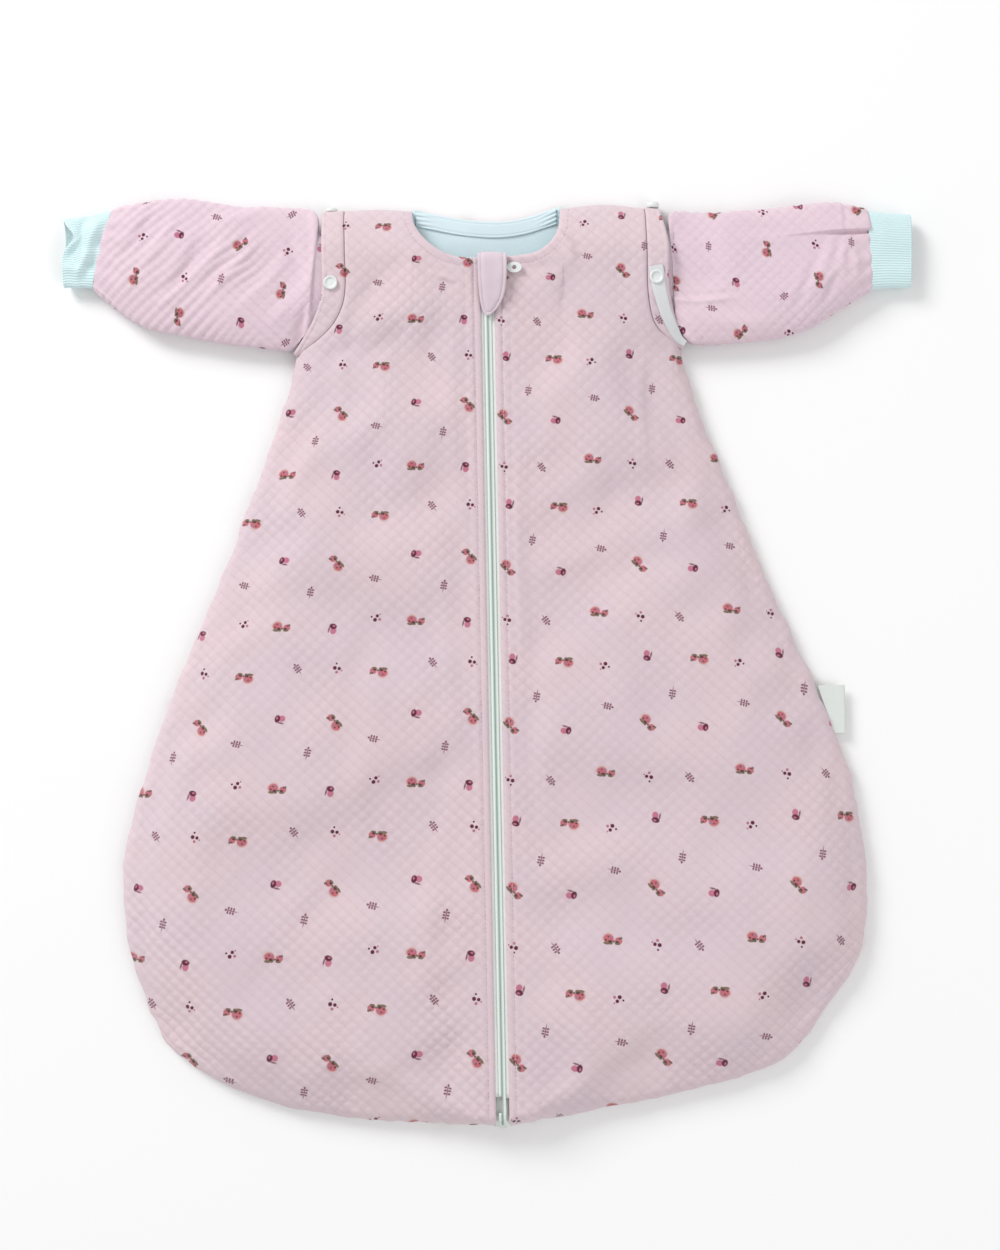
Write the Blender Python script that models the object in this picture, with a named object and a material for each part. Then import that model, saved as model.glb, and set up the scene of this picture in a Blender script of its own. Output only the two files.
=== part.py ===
"""Baby sleeping bag with snap-off sleeves and a centre front zip, lying flat on its back.

Metres. +Z is up from the surface that it lies on, +Y is towards the head, and +X is the right
of someone looking down at it. The zip runs along Y at X = 0 and the back rests on Z = 0.
"""

import math

import bmesh
import bpy
from mathutils import Matrix, Vector

MM = 0.001

# Cloth, as slabs one above the other. Each gap is what keeps two layers apart.
GAP = 0.3 * MM
SHELL = 1.3 * MM
WADDING = 2.5 * MM
LINING = 0.8 * MM
BACK_WADDING = 2.8 * MM
BACK_LINING = 1.3 * MM
BACK_TOP = SHELL + BACK_WADDING + BACK_LINING + 2 * GAP
FRONT_THICK = SHELL + WADDING + LINING + 2 * GAP
SEAM_TOP = BACK_TOP + GAP + FRONT_THICK

# Room inside, above the back and under the front, and how far from a seam the front takes to reach it.
CAVITY = 15.0 * MM
SIDE_REACH = 65 * MM
HEM_REACH = 65 * MM
ZIP_HEM_REACH = 14 * MM
SHOULDER_REACH = 40 * MM
PLATEAU = SEAM_TOP + CAVITY

# Zip: a number 5 coil on woven tape.
PANEL_EDGE = 4.9 * MM
COIL_INNER = 0.3 * MM
COIL_OUTER = 2.9 * MM
COIL_TALL = 2.2 * MM
TAPE_INNER = 3.2 * MM
TAPE_OUTER = 15.5 * MM
TAPE_THICK = 0.6 * MM
TAPE_NARROWS = -0.186
TAPE_LEFT_END = 6.4 * MM
TAPE_DROP = SHELL + GAP
WADDING_EDGE = 16.2 * MM
TAPE_MIDDLE = PLATEAU - TAPE_DROP - TAPE_THICK / 2
ZIP_TOP = 0.3270
ZIP_END = -0.3245
SLIDER_REST = 0.3215
SLIDER_TRAVEL = 0.629
SLIDER_LOWEST = SLIDER_REST - SLIDER_TRAVEL - 5.5 * MM
SLIDER_LONG = 11 * MM
SLIDER_WIDE = 9 * MM
SLIDER_TALL = 5.2 * MM
BAR_HEIGHT = TAPE_MIDDLE + 4.6 * MM
PULLER_LONG = 26 * MM
PULLER_WIDE = 8 * MM

# The left front folds back along this line once the zip is open.
NECK_CORNER = 56.5 * MM
FOLD_TOP = (-NECK_CORNER, 0.3700)
FOLD_END = (-7.6 * MM, -0.3025)
FOLD_PIVOT = (*FOLD_TOP, PLATEAU)
GUARD_HINGE = (0.3335, PLATEAU + 0.6 * MM)
GUARD_SPINE = [(0, 0), (-1.0, 2.6), (-4.5, 4.9), (-12, 5.1), (-21, 4.4), (-31, 2.6), (-40, 1.0), (-48, 0.5)]
GUARD_LEFT = [(-0.0110, 0.0), (-0.0108, 0.5), (-0.0090, 0.8), (-0.0046, 1.0)]
GUARD_RIGHT = [(0.0140, 0.0), (0.0135, 0.4), (0.0085, 0.8), (-0.0022, 1.0)]
GUARD_ROWS = 14
GUARD_THICK = 1.5 * MM
NECK_BAND = 12 * MM
NECK_BAND_THICK = 1.0 * MM

# Press studs.
SNAP_RADIUS = 5.3 * MM
SNAP_TALL = 1.6 * MM
SNAP_RING = 1.6 * MM
SNAP_SUNK = 0.8 * MM
STUD_RADIUS = 4.0 * MM
STUD_TALL = 0.85 * MM
BACK_BAND_LOW = 2.1 * MM
SNAP_Y = 0.3130
SHOULDER_SNAP_Y = 0.3714
SHOULDER_SNAP_RADIUS = 4.8 * MM
SHOULDER_SNAP_TALL = 1.8 * MM
SHOULDER_STUD_RADIUS = 2.2 * MM
SHOULDER_STUD_DROP = 2.0 * MM
LABEL = [(0.2462, 0.0030), (0.2660, 0.0030), (0.2660, -0.0340), (0.2600, -0.0340)]
LABEL_LOW = BACK_TOP - 0.7 * MM
LABEL_HIGH = BACK_TOP + 1.0 * MM

# Shares of the way from head to hem at which the front's rows lie: close together where it drops to the hem.
ROWS = [0.0, 0.05, 0.10, 0.155, 0.215, 0.285, 0.36, 0.44, 0.52, 0.60, 0.68, 0.76, 0.84, 0.91]
ROWS += [0.955, 0.982, 1.0]
FLAP_ROWS = [0.0, 0.04, 0.09, 0.15, 0.25, 0.40, 0.55, 0.68, 0.84, 1.0]
PADDED_SHARE = 0.70
ARMHOLE_STEPS = 6
SIDE_STEPS = 10
HEM_STEPS = 10

# Plan outlines, from the head downwards.
BACK_NECK = [(-0.0565, 0.3720), (-0.0460, 0.3695), (-0.0200, 0.3640), (0.0070, 0.3615),
             (0.0300, 0.3640), (0.0565, 0.3725)]
BACK_NECK_BAND = BACK_NECK[1:-1] + [(0.0480, 0.3690)]
FRONT_NECK_LEFT = [(-0.0049, 0.3305), (-0.0200, 0.3310), (-0.0330, 0.3352), (-0.0450, 0.3440),
                   (-0.0540, 0.3570), FOLD_TOP]
FRONT_NECK_RIGHT = [(0.0049, 0.3305), (0.0200, 0.3312), (0.0360, 0.3335), (0.0475, 0.3410),
                    (0.0540, 0.3520), (0.0565, 0.3700)]
SHOULDER_LEFT = [(-0.0565, 0.3700), (-0.0830, 0.3718), (-0.1080, 0.3710)]
SHOULDER_RIGHT = [(0.0565, 0.3700), (0.0900, 0.3725), (0.1205, 0.3690)]
ARMHOLE_LEFT = [(-0.1080, 0.3710), (-0.1070, 0.3390), (-0.1080, 0.3010), (-0.1190, 0.2800), (-0.1455, 0.2605)]
ARMHOLE_RIGHT = [(0.1205, 0.3690), (0.1205, 0.3350), (0.1210, 0.3000), (0.1265, 0.2780), (0.1465, 0.2605)]
BAND_LEFT = [(-0.1250, 0.3700), (-0.1245, 0.3390), (-0.1250, 0.3060), (-0.1335, 0.2840), (-0.1485, 0.2625)]
BAND_RIGHT = [(0.1320, 0.3680), (0.1370, 0.3390), (0.1370, 0.3060), (0.1415, 0.2840), (0.1495, 0.2625)]
SIDE_LEFT = [(-0.1455, 0.2605), (-0.1560, 0.2240), (-0.1775, 0.1660), (-0.2080, 0.0910),
             (-0.2410, 0.0160), (-0.2660, -0.0520), (-0.2825, -0.1050), (-0.2862, -0.1500),
             (-0.2790, -0.2000), (-0.2600, -0.2550)]
SIDE_RIGHT = [(0.1465, 0.2605), (0.1570, 0.2200), (0.1800, 0.1600), (0.2090, 0.0840),
              (0.2420, 0.0080), (0.2660, -0.0530), (0.2770, -0.1050), (0.2808, -0.1600),
              (0.2735, -0.2040), (0.2440, -0.2490)]
HEM_LEFT = [(-0.2600, -0.2550), (-0.2400, -0.2750), (-0.2050, -0.2960), (-0.1500, -0.3140),
            (-0.0800, -0.3230), (-0.0049, -0.3290)]
HEM_RIGHT = [(0.2440, -0.2490), (0.2200, -0.2775), (0.1850, -0.2935), (0.1270, -0.3072),
             (0.0520, -0.3212), (0.0049, -0.3290)]

# Sleeves, from the end tucked inside the armhole to the cuff: upper edge, lower edge, floor, ceiling.
LEFT_UPPER = [(-0.1125, 0.3500), (-0.1270, 0.3500), (-0.1370, 0.3640), (-0.1520, 0.3728), (-0.1830, 0.3760),
              (-0.2440, 0.3805), (-0.2620, 0.3790), (-0.2860, 0.3745)]
LEFT_LOWER = [(-0.1125, 0.2880), (-0.1270, 0.2880), (-0.1430, 0.2800), (-0.1580, 0.2685), (-0.1850, 0.2700),
              (-0.2300, 0.2780), (-0.2640, 0.2870), (-0.3010, 0.3150)]
RIGHT_UPPER = [(0.1205, 0.3480), (0.1390, 0.3480), (0.1480, 0.3600), (0.1600, 0.3640), (0.1840, 0.3645),
               (0.2390, 0.3662), (0.2660, 0.3685), (0.2905, 0.3640)]
RIGHT_LOWER = [(0.1205, 0.2890), (0.1390, 0.2890), (0.1510, 0.2790), (0.1630, 0.2668), (0.1880, 0.2652),
               (0.2370, 0.2720), (0.2660, 0.2870), (0.2935, 0.3035)]
SLEEVE_FLOOR = [8.30 * MM, 8.30 * MM, 5.5 * MM, 1.4 * MM, 0.5 * MM, 0.5 * MM, 0.5 * MM, 0.5 * MM]
SLEEVE_CEILING = [18.0 * MM, 18.0 * MM, 18.8 * MM, 19.5 * MM, 19.5 * MM, 18.8 * MM, 18.0 * MM, 16.5 * MM]
SLEEVE_SHELL = 0.8 * MM
SLEEVE_WADDING = 1.5 * MM
SLEEVE_LINING = 0.6 * MM
SLEEVE_GAP = 0.25 * MM
SNAP_TAPE_FROM = 0.8 * MM
SNAP_TAPE_TO = 10.5 * MM
CUFF_WALL = 1.6 * MM
CUFF_SHARES = [0.01, 0.25, 0.5, 0.75, 1.0]
CUFF_FLATTER = 2.0 * MM
AROUND = 16
ROUND = 0.75

PINK = (0.78, 0.64, 0.68)
MINT = (0.70, 0.80, 0.80)
WHITE = (0.86, 0.89, 0.88)
WOOL = (0.88, 0.87, 0.84)
PLAIN_PINK = (0.74, 0.66, 0.74)


# ---------------------------------------------------------------- plan curves and heights


def curve(points, count):
    """Points spaced evenly along a smooth curve through the given ones."""
    knots = [Vector(p) for p in points]
    lengths = [0.0]
    for a, b in zip(knots, knots[1:]):
        lengths.append(lengths[-1] + (b - a).length)

    def at(reach):
        i = max(k for k in range(len(knots) - 1) if lengths[k] <= reach + 1e-12)
        span = lengths[i + 1] - lengths[i]
        t = (reach - lengths[i]) / span
        before = knots[i - 1] if i > 0 else 2 * knots[i] - knots[i + 1]
        after = knots[i + 2] if i + 2 < len(knots) else 2 * knots[i + 1] - knots[i]
        lead = (knots[i + 1] - before).normalized() * span
        trail = (after - knots[i]).normalized() * span
        t2, t3 = t * t, t * t * t
        return (
            knots[i] * (2 * t3 - 3 * t2 + 1)
            + lead * (t3 - 2 * t2 + t)
            + knots[i + 1] * (3 * t2 - 2 * t3)
            + trail * (t3 - t2)
        )

    return [at(lengths[-1] * k / count) for k in range(count + 1)]


def straight(start, end, shares):
    """Points on a straight line at these shares of its length."""
    return [Vector(start).lerp(Vector(end), share) for share in shares]


def moved(points, dx, dy=0.0):
    return [p + Vector((dx, dy)) for p in points]


def distance_to(point, line):
    """The shortest way from a plan point to a chain of straight pieces."""
    best = 1.0
    for a, b in zip(line, line[1:]):
        a, b = Vector(a), Vector(b)
        along = (b - a).normalized()
        foot = min(max((point - a).dot(along), 0.0), (b - a).length)
        best = min(best, (point - a - along * foot).length)
    return best


def rise(distance, reach):
    """0 on a seam, 1 where the cloth has come up to its full height."""
    share = min(max(distance / reach, 0.0), 1.0)
    return 1.0 - (1.0 - share) ** 2


def front_top(x, y):
    """Height of the front's outer face: low on the sewn edges and full between them."""
    left = (SIDE_LEFT, HEM_LEFT, SHOULDER_LEFT, BAND_LEFT)
    right = (SIDE_RIGHT, HEM_RIGHT, SHOULDER_RIGHT, BAND_RIGHT)
    side, hem, shoulder, band = left if x < 0 else right
    point = Vector((x, y))
    away = min(max((abs(x) - 0.02) / 0.10, 0.0), 1.0)
    hem_reach = ZIP_HEM_REACH + (HEM_REACH - ZIP_HEM_REACH) * away
    fill = rise(distance_to(point, side), SIDE_REACH)
    fill *= rise(distance_to(point, hem + [(0.0, hem[-1][1])]), hem_reach)
    fill *= rise(distance_to(point, shoulder + [band[0]]), SHOULDER_REACH)
    return SEAM_TOP + CAVITY * fill


def patch(top, bottom, inner, outer, shares=None):
    """Plan positions, row by row, of a four-sided patch with these edges."""
    columns, rows = len(top) - 1, len(inner) - 1
    table = []
    for j in range(rows + 1):
        v = shares[j] if shares else j / rows
        row = []
        for i in range(columns + 1):
            u = i / columns
            across = top[i] * (1 - v) + bottom[i] * v
            along = inner[j] * (1 - u) + outer[j] * u
            plain = top[0].lerp(top[-1], u).lerp(bottom[0].lerp(bottom[-1], u), v)
            row.append(across + along - plain)
        table.append(row)
    return table


# ---------------------------------------------------------------- making one node

parts = bpy.data.collections.new("baby_sleeping_bag")
cutters = bpy.data.collections.new("cutters")


def clear_scene():
    for obj in list(bpy.data.objects):
        bpy.data.objects.remove(obj, do_unlink=True)
    bpy.context.scene.collection.children.link(parts)
    bpy.context.scene.collection.children.link(cutters)


def material(name, colour, roughness):
    made = bpy.data.materials.new(name)
    made.use_nodes = True
    shader = made.node_tree.nodes["Principled BSDF"]
    shader.inputs["Base Color"].default_value = (*colour, 1.0)
    shader.inputs["Roughness"].default_value = roughness
    return made


def node_from(name, bm, colour, pivot=(0.0, 0.0, 0.0), roughness=0.9):
    """One named object from a bmesh in world places, with its origin on the pivot."""
    bmesh.ops.recalc_face_normals(bm, faces=bm.faces)
    bmesh.ops.translate(bm, verts=bm.verts, vec=-Vector(pivot))
    mesh = bpy.data.meshes.new(name)
    bm.to_mesh(mesh)
    bm.free()
    mesh.materials.append(material(name, colour, roughness))
    obj = bpy.data.objects.new(name, mesh)
    obj.location = pivot
    parts.objects.link(obj)
    return obj


def slab(name, table, top, thick, colour, pivot=(0.0, 0.0, 0.0)):
    """A sheet laid over a patch at the height top(x, y), then extruded down by its thickness."""
    across, along = len(table[0]) - 1, len(table) - 1
    bm = bmesh.new()
    bmesh.ops.create_grid(bm, x_segments=across, y_segments=along, size=0.5)
    for vert in bm.verts:
        place = table[round((0.5 - vert.co.y) * along)][round((vert.co.x + 0.5) * across)]
        vert.co = (place.x, place.y, top(place.x, place.y))
    lower = bmesh.ops.extrude_face_region(bm, geom=bm.faces[:])["geom"]
    for vert in (g for g in lower if isinstance(g, bmesh.types.BMVert)):
        vert.co.z -= thick
    return node_from(name, bm, colour, pivot)


def plate(name, outline, low, high, colour, pivot=(0.0, 0.0, 0.0)):
    """A flat outline, filled and extruded up."""
    bm = bmesh.new()
    face = bm.faces.new([bm.verts.new((x, y, low)) for x, y in outline])
    upper = bmesh.ops.extrude_face_region(bm, geom=[face])["geom"]
    for vert in (g for g in upper if isinstance(g, bmesh.types.BMVert)):
        vert.co.z = high
    return node_from(name, bm, colour, pivot)


def box(bm, low, high):
    """Adds a box with these corners to the bmesh."""
    made = bmesh.ops.create_cube(bm, size=1.0)["verts"]
    low, high = Vector(low), Vector(high)
    for vert in made:
        vert.co = [(low[k] + high[k]) / 2 + vert.co[k] * (high[k] - low[k]) for k in range(3)]


def helper(name, make):
    """A cutter or a piece to be joined on: built by make(bmesh), never rendered, drawn as wire."""
    bm = bmesh.new()
    make(bm)
    bmesh.ops.recalc_face_normals(bm, faces=bm.faces)
    mesh = bpy.data.meshes.new(name)
    bm.to_mesh(mesh)
    bm.free()
    obj = bpy.data.objects.new(name, mesh)
    obj.hide_render = True
    obj.display_type = "WIRE"
    cutters.objects.link(obj)
    return obj


def combine(obj, other, operation):
    modifier = obj.modifiers.new(operation.lower(), "BOOLEAN")
    modifier.operation = operation
    modifier.solver = "EXACT"
    modifier.object = other


def drum(bm, radius, low, high, segments):
    """Adds an upright cylinder standing at the origin to the bmesh."""
    made = bmesh.ops.create_cone(
        bm, cap_ends=True, segments=segments, radius1=radius, radius2=radius, depth=high - low
    )["verts"]
    bmesh.ops.translate(bm, verts=made, vec=(0.0, 0.0, (low + high) / 2))


# ---------------------------------------------------------------- the bag

def outer_edge(armhole, side):
    return curve(armhole, ARMHOLE_STEPS) + curve(side, SIDE_STEPS)[1:]


def back():
    """Three flat layers of one outline, and the band sewn round the inside of the neck."""
    outline = curve(BACK_NECK, 8) + curve(SHOULDER_RIGHT, 3)[1:]
    outline += outer_edge(ARMHOLE_RIGHT, SIDE_RIGHT)[1:] + curve(HEM_RIGHT, HEM_STEPS)[1:]
    outline += curve(HEM_LEFT, HEM_STEPS)[::-1] + outer_edge(ARMHOLE_LEFT, SIDE_LEFT)[-2::-1]
    outline += curve(SHOULDER_LEFT, 3)[2:0:-1]
    low = 0.0
    for name, thick, colour in (
        ("back_shell", SHELL, PINK),
        ("back_wadding", BACK_WADDING, WOOL),
        ("back_lining", BACK_LINING, MINT),
    ):
        plate(name, outline, low, low + thick, colour)
        low += thick + GAP
    upper = moved(curve(BACK_NECK_BAND, 8), 0.0, -2 * GAP)
    lower = moved(upper, 0.0, -NECK_BAND)
    low = BACK_TOP + GAP
    plate("back_neck_band", upper + lower[::-1], low, low + NECK_BAND_THICK, MINT)


def front_layers(prefix, cloth, wadding, pivot=(0.0, 0.0, 0.0)):
    """Shell, wadding and lining, each over its patch. The wadding stops short of the zip tape."""
    drop = 0.0
    for layer, table, thick, colour in (
        ("shell", cloth, SHELL, PINK),
        ("wadding", wadding, WADDING, WOOL),
        ("lining", cloth, LINING, MINT),
    ):
        slab(f"{prefix}_{layer}", table, lambda x, y: front_top(x, y) - drop, thick, colour, pivot)
        drop += thick + GAP


def past_edge(points, edge):
    """The points of a curve on the right that lie past the edge, after its first one moved onto the edge."""
    return [(edge, points[0][1])] + [p for p in points[1:] if p[0] > edge]


def front_right():
    """The right half of the front, from the zip to the side."""
    outer = outer_edge(ARMHOLE_RIGHT, SIDE_RIGHT)
    neck = curve(past_edge(FRONT_NECK_RIGHT, WADDING_EDGE), 6) + curve(SHOULDER_RIGHT, 4)[1:]
    hem = curve(past_edge(HEM_RIGHT[::-1], WADDING_EDGE), 10)
    padded = patch(neck, hem, straight(neck[0], hem[0], ROWS), outer, ROWS)
    edge = straight((PANEL_EDGE, neck[0].y), (PANEL_EDGE, hem[0].y), ROWS)
    front_layers("front_right", [[first] + row for first, row in zip(edge, padded)], padded)


def front_left():
    """The left half: a fixed part from the fold line to the side, and the part that folds back."""
    outer = outer_edge(ARMHOLE_LEFT, SIDE_LEFT)
    start, turn = moved([Vector(FOLD_TOP), Vector(FOLD_END)], -GAP / 2)
    end = Vector(HEM_LEFT[-1])
    folded = ROWS[:-2]
    inner = straight(start, turn, [share / folded[-1] for share in folded])
    inner += straight(turn, end, [0.5, 1.0])
    shoulder = [start] + curve(SHOULDER_LEFT, 9)[1:]
    hem = [end] + curve(HEM_LEFT, 9)[-2::-1]
    fixed = patch(shoulder, hem, inner, outer, ROWS)
    front_layers("front_left", fixed, fixed)

    line = moved([Vector(FOLD_TOP), Vector(FOLD_END)], GAP / 2)
    neck = curve(FRONT_NECK_LEFT, 40)
    cloth, padded = [], []
    for share in FLAP_ROWS:
        edge = Vector((-PANEL_EDGE, neck[0].y)).lerp(Vector((-PANEL_EDGE, FOLD_END[1])), share)
        fold = line[0].lerp(line[1], share)
        first = -WADDING_EDGE if share <= PADDED_SHARE else edge.x + (fold.x - edge.x) / 6
        row = []
        for x in [edge.x] + [first + (fold.x - first) * k / 5 for k in range(6)]:
            part_way = (x - edge.x) / (fold.x - edge.x)
            above = neck[0].lerp(line[0], part_way)
            scoop = min(neck, key=lambda p: abs(p.x - above.x)).y - above.y if part_way < 1 else 0.0
            row.append(edge.lerp(fold, part_way) + Vector((0.0, scoop * (1 - share) ** 4)))
        cloth.append(row)
        if share <= PADDED_SHARE:
            padded.append(row[1:])
    front_layers("front_left_flap", cloth, padded, FOLD_PIVOT)



def armhole_band(side, seam, edge):
    """The turned band round an armhole, front and back, between its seam and its free edge."""
    inner = moved(curve(seam, ARMHOLE_STEPS), math.copysign(GAP, edge[0][0]))
    outer = curve(edge, ARMHOLE_STEPS)
    halves = [0.0, 0.5, 1.0]
    table = patch(straight(inner[0], outer[0], halves), straight(inner[-1], outer[-1], halves), inner, outer)
    slab(f"{side}_armhole_band_front", table, front_top, FRONT_THICK, PINK)
    slab(f"{side}_armhole_band_back", table, lambda x, y: BACK_TOP, BACK_TOP - BACK_BAND_LOW, PINK)


def ribbon(name, xs, ys, rows, drop, thick, colour, pivot=(0.0, 0.0, 0.0)):
    """A straight strip at a set depth under the height that the front has along the middle."""
    inner = straight((xs[0], ys[0]), (xs[0], ys[1]), rows)
    outer = straight((xs[1], ys[0]), (xs[1], ys[1]), rows)
    table = patch([inner[0], outer[0]], [inner[-1], outer[-1]], inner, outer, rows)
    return slab(name, table, lambda x, y: front_top(0.0, y) - drop, thick, colour, pivot)


def zip_fastener():
    """Tape, coil and stops. The left half turns with the left front down to the end of the fold."""
    coil_drop = PLATEAU - TAPE_MIDDLE - COIL_TALL / 2
    rows = [0.0, 0.5, 0.972, 0.98, 0.988, 0.994, 1.0]
    coil = (COIL_INNER, COIL_OUTER)
    left_coil = (-COIL_OUTER, -COIL_INNER)
    tape_end = FOLD_END[1]
    tape_sides = (TAPE_INNER, TAPE_OUTER)
    ribbon("zip_tape_right", tape_sides, (ZIP_TOP, tape_end), [0.0, 0.5, 1.0], TAPE_DROP, TAPE_THICK, WHITE)
    ribbon("zip_coil_right", coil, (ZIP_TOP - GAP, ZIP_END), rows, coil_drop, COIL_TALL, WHITE)
    low = FOLD_END[1] + 1.0 * MM
    tape = [(-TAPE_INNER, ZIP_TOP), (-TAPE_INNER, low), (-TAPE_LEFT_END, low)]
    tape += [(-TAPE_OUTER, TAPE_NARROWS), (-TAPE_OUTER, ZIP_TOP)]
    plate("zip_tape_left", tape, PLATEAU - TAPE_DROP - TAPE_THICK, PLATEAU - TAPE_DROP, WHITE, FOLD_PIVOT)
    high = SLIDER_REST + 0.6 * MM
    ribbon("zip_coil_left", left_coil, (high, low), [0.0, 0.5, 1.0], coil_drop, COIL_TALL, WHITE, FOLD_PIVOT)
    rows = [0.0, 0.25, 0.5, 0.75, 1.0]
    ends = (SLIDER_LOWEST - 2 * GAP, ZIP_END)
    ribbon("zip_coil_left_end", left_coil, ends, rows, coil_drop, COIL_TALL, WHITE)
    for side, sign, pivot in (("left", -1, FOLD_PIVOT), ("right", 1, (0.0, 0.0, 0.0))):
        low_x, high_x = sorted((sign * COIL_INNER, sign * COIL_OUTER))
        bm = bmesh.new()
        box(
            bm,
            (low_x, ZIP_TOP + 0.1 * MM, TAPE_MIDDLE - 1.2 * MM),
            (high_x, ZIP_TOP + 3.0 * MM, TAPE_MIDDLE + 1.4 * MM),
        )
        node_from(f"zip_top_stop_{side}", bm, WHITE, pivot, 0.3)
    bm = bmesh.new()
    box(
        bm,
        (-2.8 * MM, ZIP_END - 2.9 * MM, SEAM_TOP + 0.3 * MM),
        (2.8 * MM, ZIP_END - 0.3 * MM, SEAM_TOP + 5.5 * MM),
    )
    node_from("zip_bottom_stop", bm, WHITE, roughness=0.3)


def slider():
    """A block with a channel for the coil, slots for the tape and a raised bar for the puller."""
    y, z = SLIDER_REST, TAPE_MIDDLE
    half, wide, tall = SLIDER_LONG / 2, SLIDER_WIDE / 2, SLIDER_TALL / 2
    channel = COIL_TALL / 2 + GAP
    slot = TAPE_THICK / 2 + GAP
    past = 10 * MM
    post = 0.6 * MM
    bm = bmesh.new()
    box(bm, (-wide, y - half, z - tall), (wide, y + half, z + tall))
    body = node_from("zip_slider_body", bm, WHITE, (0.0, y, z), 0.3)
    away = (
        ("channel_right", (0.0, y - past, z - channel), (COIL_OUTER + GAP, y + past, z + channel)),
        ("channel_left", (-COIL_OUTER - GAP, y - past, z - channel), (0.1 * MM, y + 1.0 * MM, z + channel)),
        ("slot_left", (-past, y - past, z - slot), (-COIL_OUTER, y + past, z + slot)),
        ("slot_right", (COIL_OUTER, y - past, z - slot), (past, y + past, z + slot)),
    )
    foot = z + tall - 0.3 * MM
    added = (
        ("post_low", (-post, y - 3.6 * MM, foot), (post, y - 2.6 * MM, BAR_HEIGHT + 0.6 * MM)),
        ("post_high", (-post, y + 2.6 * MM, foot), (post, y + 3.6 * MM, BAR_HEIGHT + 0.6 * MM)),
        ("bar", (-post, y - 2.8 * MM, BAR_HEIGHT - 0.6 * MM), (post, y + 2.8 * MM, BAR_HEIGHT + 0.6 * MM)),
    )
    for name, low, high in away:
        combine(body, helper(name, lambda bm: box(bm, low, high)), "DIFFERENCE")
    for name, low, high in added:
        combine(body, helper(name, lambda bm: box(bm, low, high)), "UNION")


def turned(bm, place):
    """Lays everything in the bmesh over from upright to lying along Y, then moves it into place."""
    bmesh.ops.rotate(bm, verts=bm.verts, cent=(0, 0, 0), matrix=Matrix.Rotation(math.radians(-90), 3, "X"))
    bmesh.ops.translate(bm, verts=bm.verts, vec=place)


def puller():
    """A moulded tab with an eyelet, whose knuckle turns on the slider's bar. It lies over to the right."""
    y, z = SLIDER_REST, BAR_HEIGHT
    eye = PULLER_LONG - 1.4 * PULLER_WIDE / 2
    bm = bmesh.new()
    drum(bm, 1.5 * MM, -2.2 * MM, 2.2 * MM, 16)
    turned(bm, (0.0, y, z))
    body = node_from("zip_puller", bm, WHITE, (0.0, y, z), 0.35)

    def stem(bm):
        box(bm, (1.0 * MM, y - 2.0 * MM, z - 0.8 * MM), (15.0 * MM, y + 2.0 * MM, z + 0.8 * MM))

    def tab(bm):
        drum(bm, PULLER_WIDE / 2, -0.8 * MM, 0.8 * MM, 20)
        bmesh.ops.scale(bm, verts=bm.verts, vec=(1.4, 1.0, 1.0))
        bmesh.ops.translate(bm, verts=bm.verts, vec=(eye, y, z))

    def eyelet(bm):
        drum(bm, 1.7 * MM, -3 * MM, 3 * MM, 16)
        bmesh.ops.translate(bm, verts=bm.verts, vec=(eye, y, z))

    def bar_hole(bm):
        drum(bm, 1.1 * MM, -6 * MM, 6 * MM, 12)
        turned(bm, (0.0, y, z))

    combine(body, helper("puller_stem", stem), "UNION")
    combine(body, helper("puller_tab", tab), "UNION")
    combine(body, helper("puller_eyelet", eyelet), "DIFFERENCE")
    combine(body, helper("puller_bar_hole", bar_hole), "DIFFERENCE")


def spot(point):
    return tuple(round(c * 1e7) for c in point)


def chin_guard():
    """A pointed tongue sewn to the left front's neck edge and folded down over the slider."""
    y, z = GUARD_HINGE
    rows = GUARD_ROWS
    spine = curve([(y + dy * MM, z + dz * MM) for dy, dz in GUARD_SPINE], rows)
    left = [p.x for p in curve(GUARD_LEFT, rows)]
    right = [p.x for p in curve(GUARD_RIGHT, rows)]
    bm = bmesh.new()
    bmesh.ops.create_grid(bm, x_segments=4, y_segments=rows, size=0.5)
    outward = {}
    for vert in bm.verts:
        row = round((0.5 - vert.co.y) * rows)
        slope = (spine[min(row + 1, rows)] - spine[max(row - 1, 0)]).normalized()
        vert.co = (left[row] + (right[row] - left[row]) * (vert.co.x + 0.5), *spine[row])
        outward[spot(vert.co)] = Vector((0.0, slope.y, -slope.x))
    upper = bmesh.ops.extrude_face_region(bm, geom=bm.faces[:])["geom"]
    for vert in (g for g in upper if isinstance(g, bmesh.types.BMVert)):
        vert.co += outward[spot(vert.co)] * GUARD_THICK
    node_from("chin_guard", bm, PLAIN_PINK, (0.0, y, z))


# ---------------------------------------------------------------- snaps, sleeves and label


def snap_cap(name, x, y, z, up):
    """A ring-faced cap: a disc with its middle sunk on the face that shows, up being 1 or -1."""
    bm = bmesh.new()
    drum(bm, SNAP_RADIUS, 0.0, SNAP_TALL, 20)
    face = max(bm.faces, key=lambda f: f.calc_center_median().z)
    bmesh.ops.inset_region(bm, faces=[face], thickness=SNAP_RING)
    for vert in face.verts:
        vert.co.z -= SNAP_SUNK
    bmesh.ops.scale(bm, verts=bm.verts, vec=(1.0, 1.0, up))
    bmesh.ops.translate(bm, verts=bm.verts, vec=(x, y, z))
    node_from(name, bm, WHITE, roughness=0.3)


def disc(name, radius, thick, place, pivot=(0.0, 0.0, 0.0), on_edge=False):
    """A flat white disc, lying down or standing on its edge and facing along Y."""
    bm = bmesh.new()
    drum(bm, radius, 0.0, thick, 16)
    if on_edge:
        turned(bm, place)
    else:
        bmesh.ops.translate(bm, verts=bm.verts, vec=place)
    node_from(name, bm, WHITE, pivot, 0.3)


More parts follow.
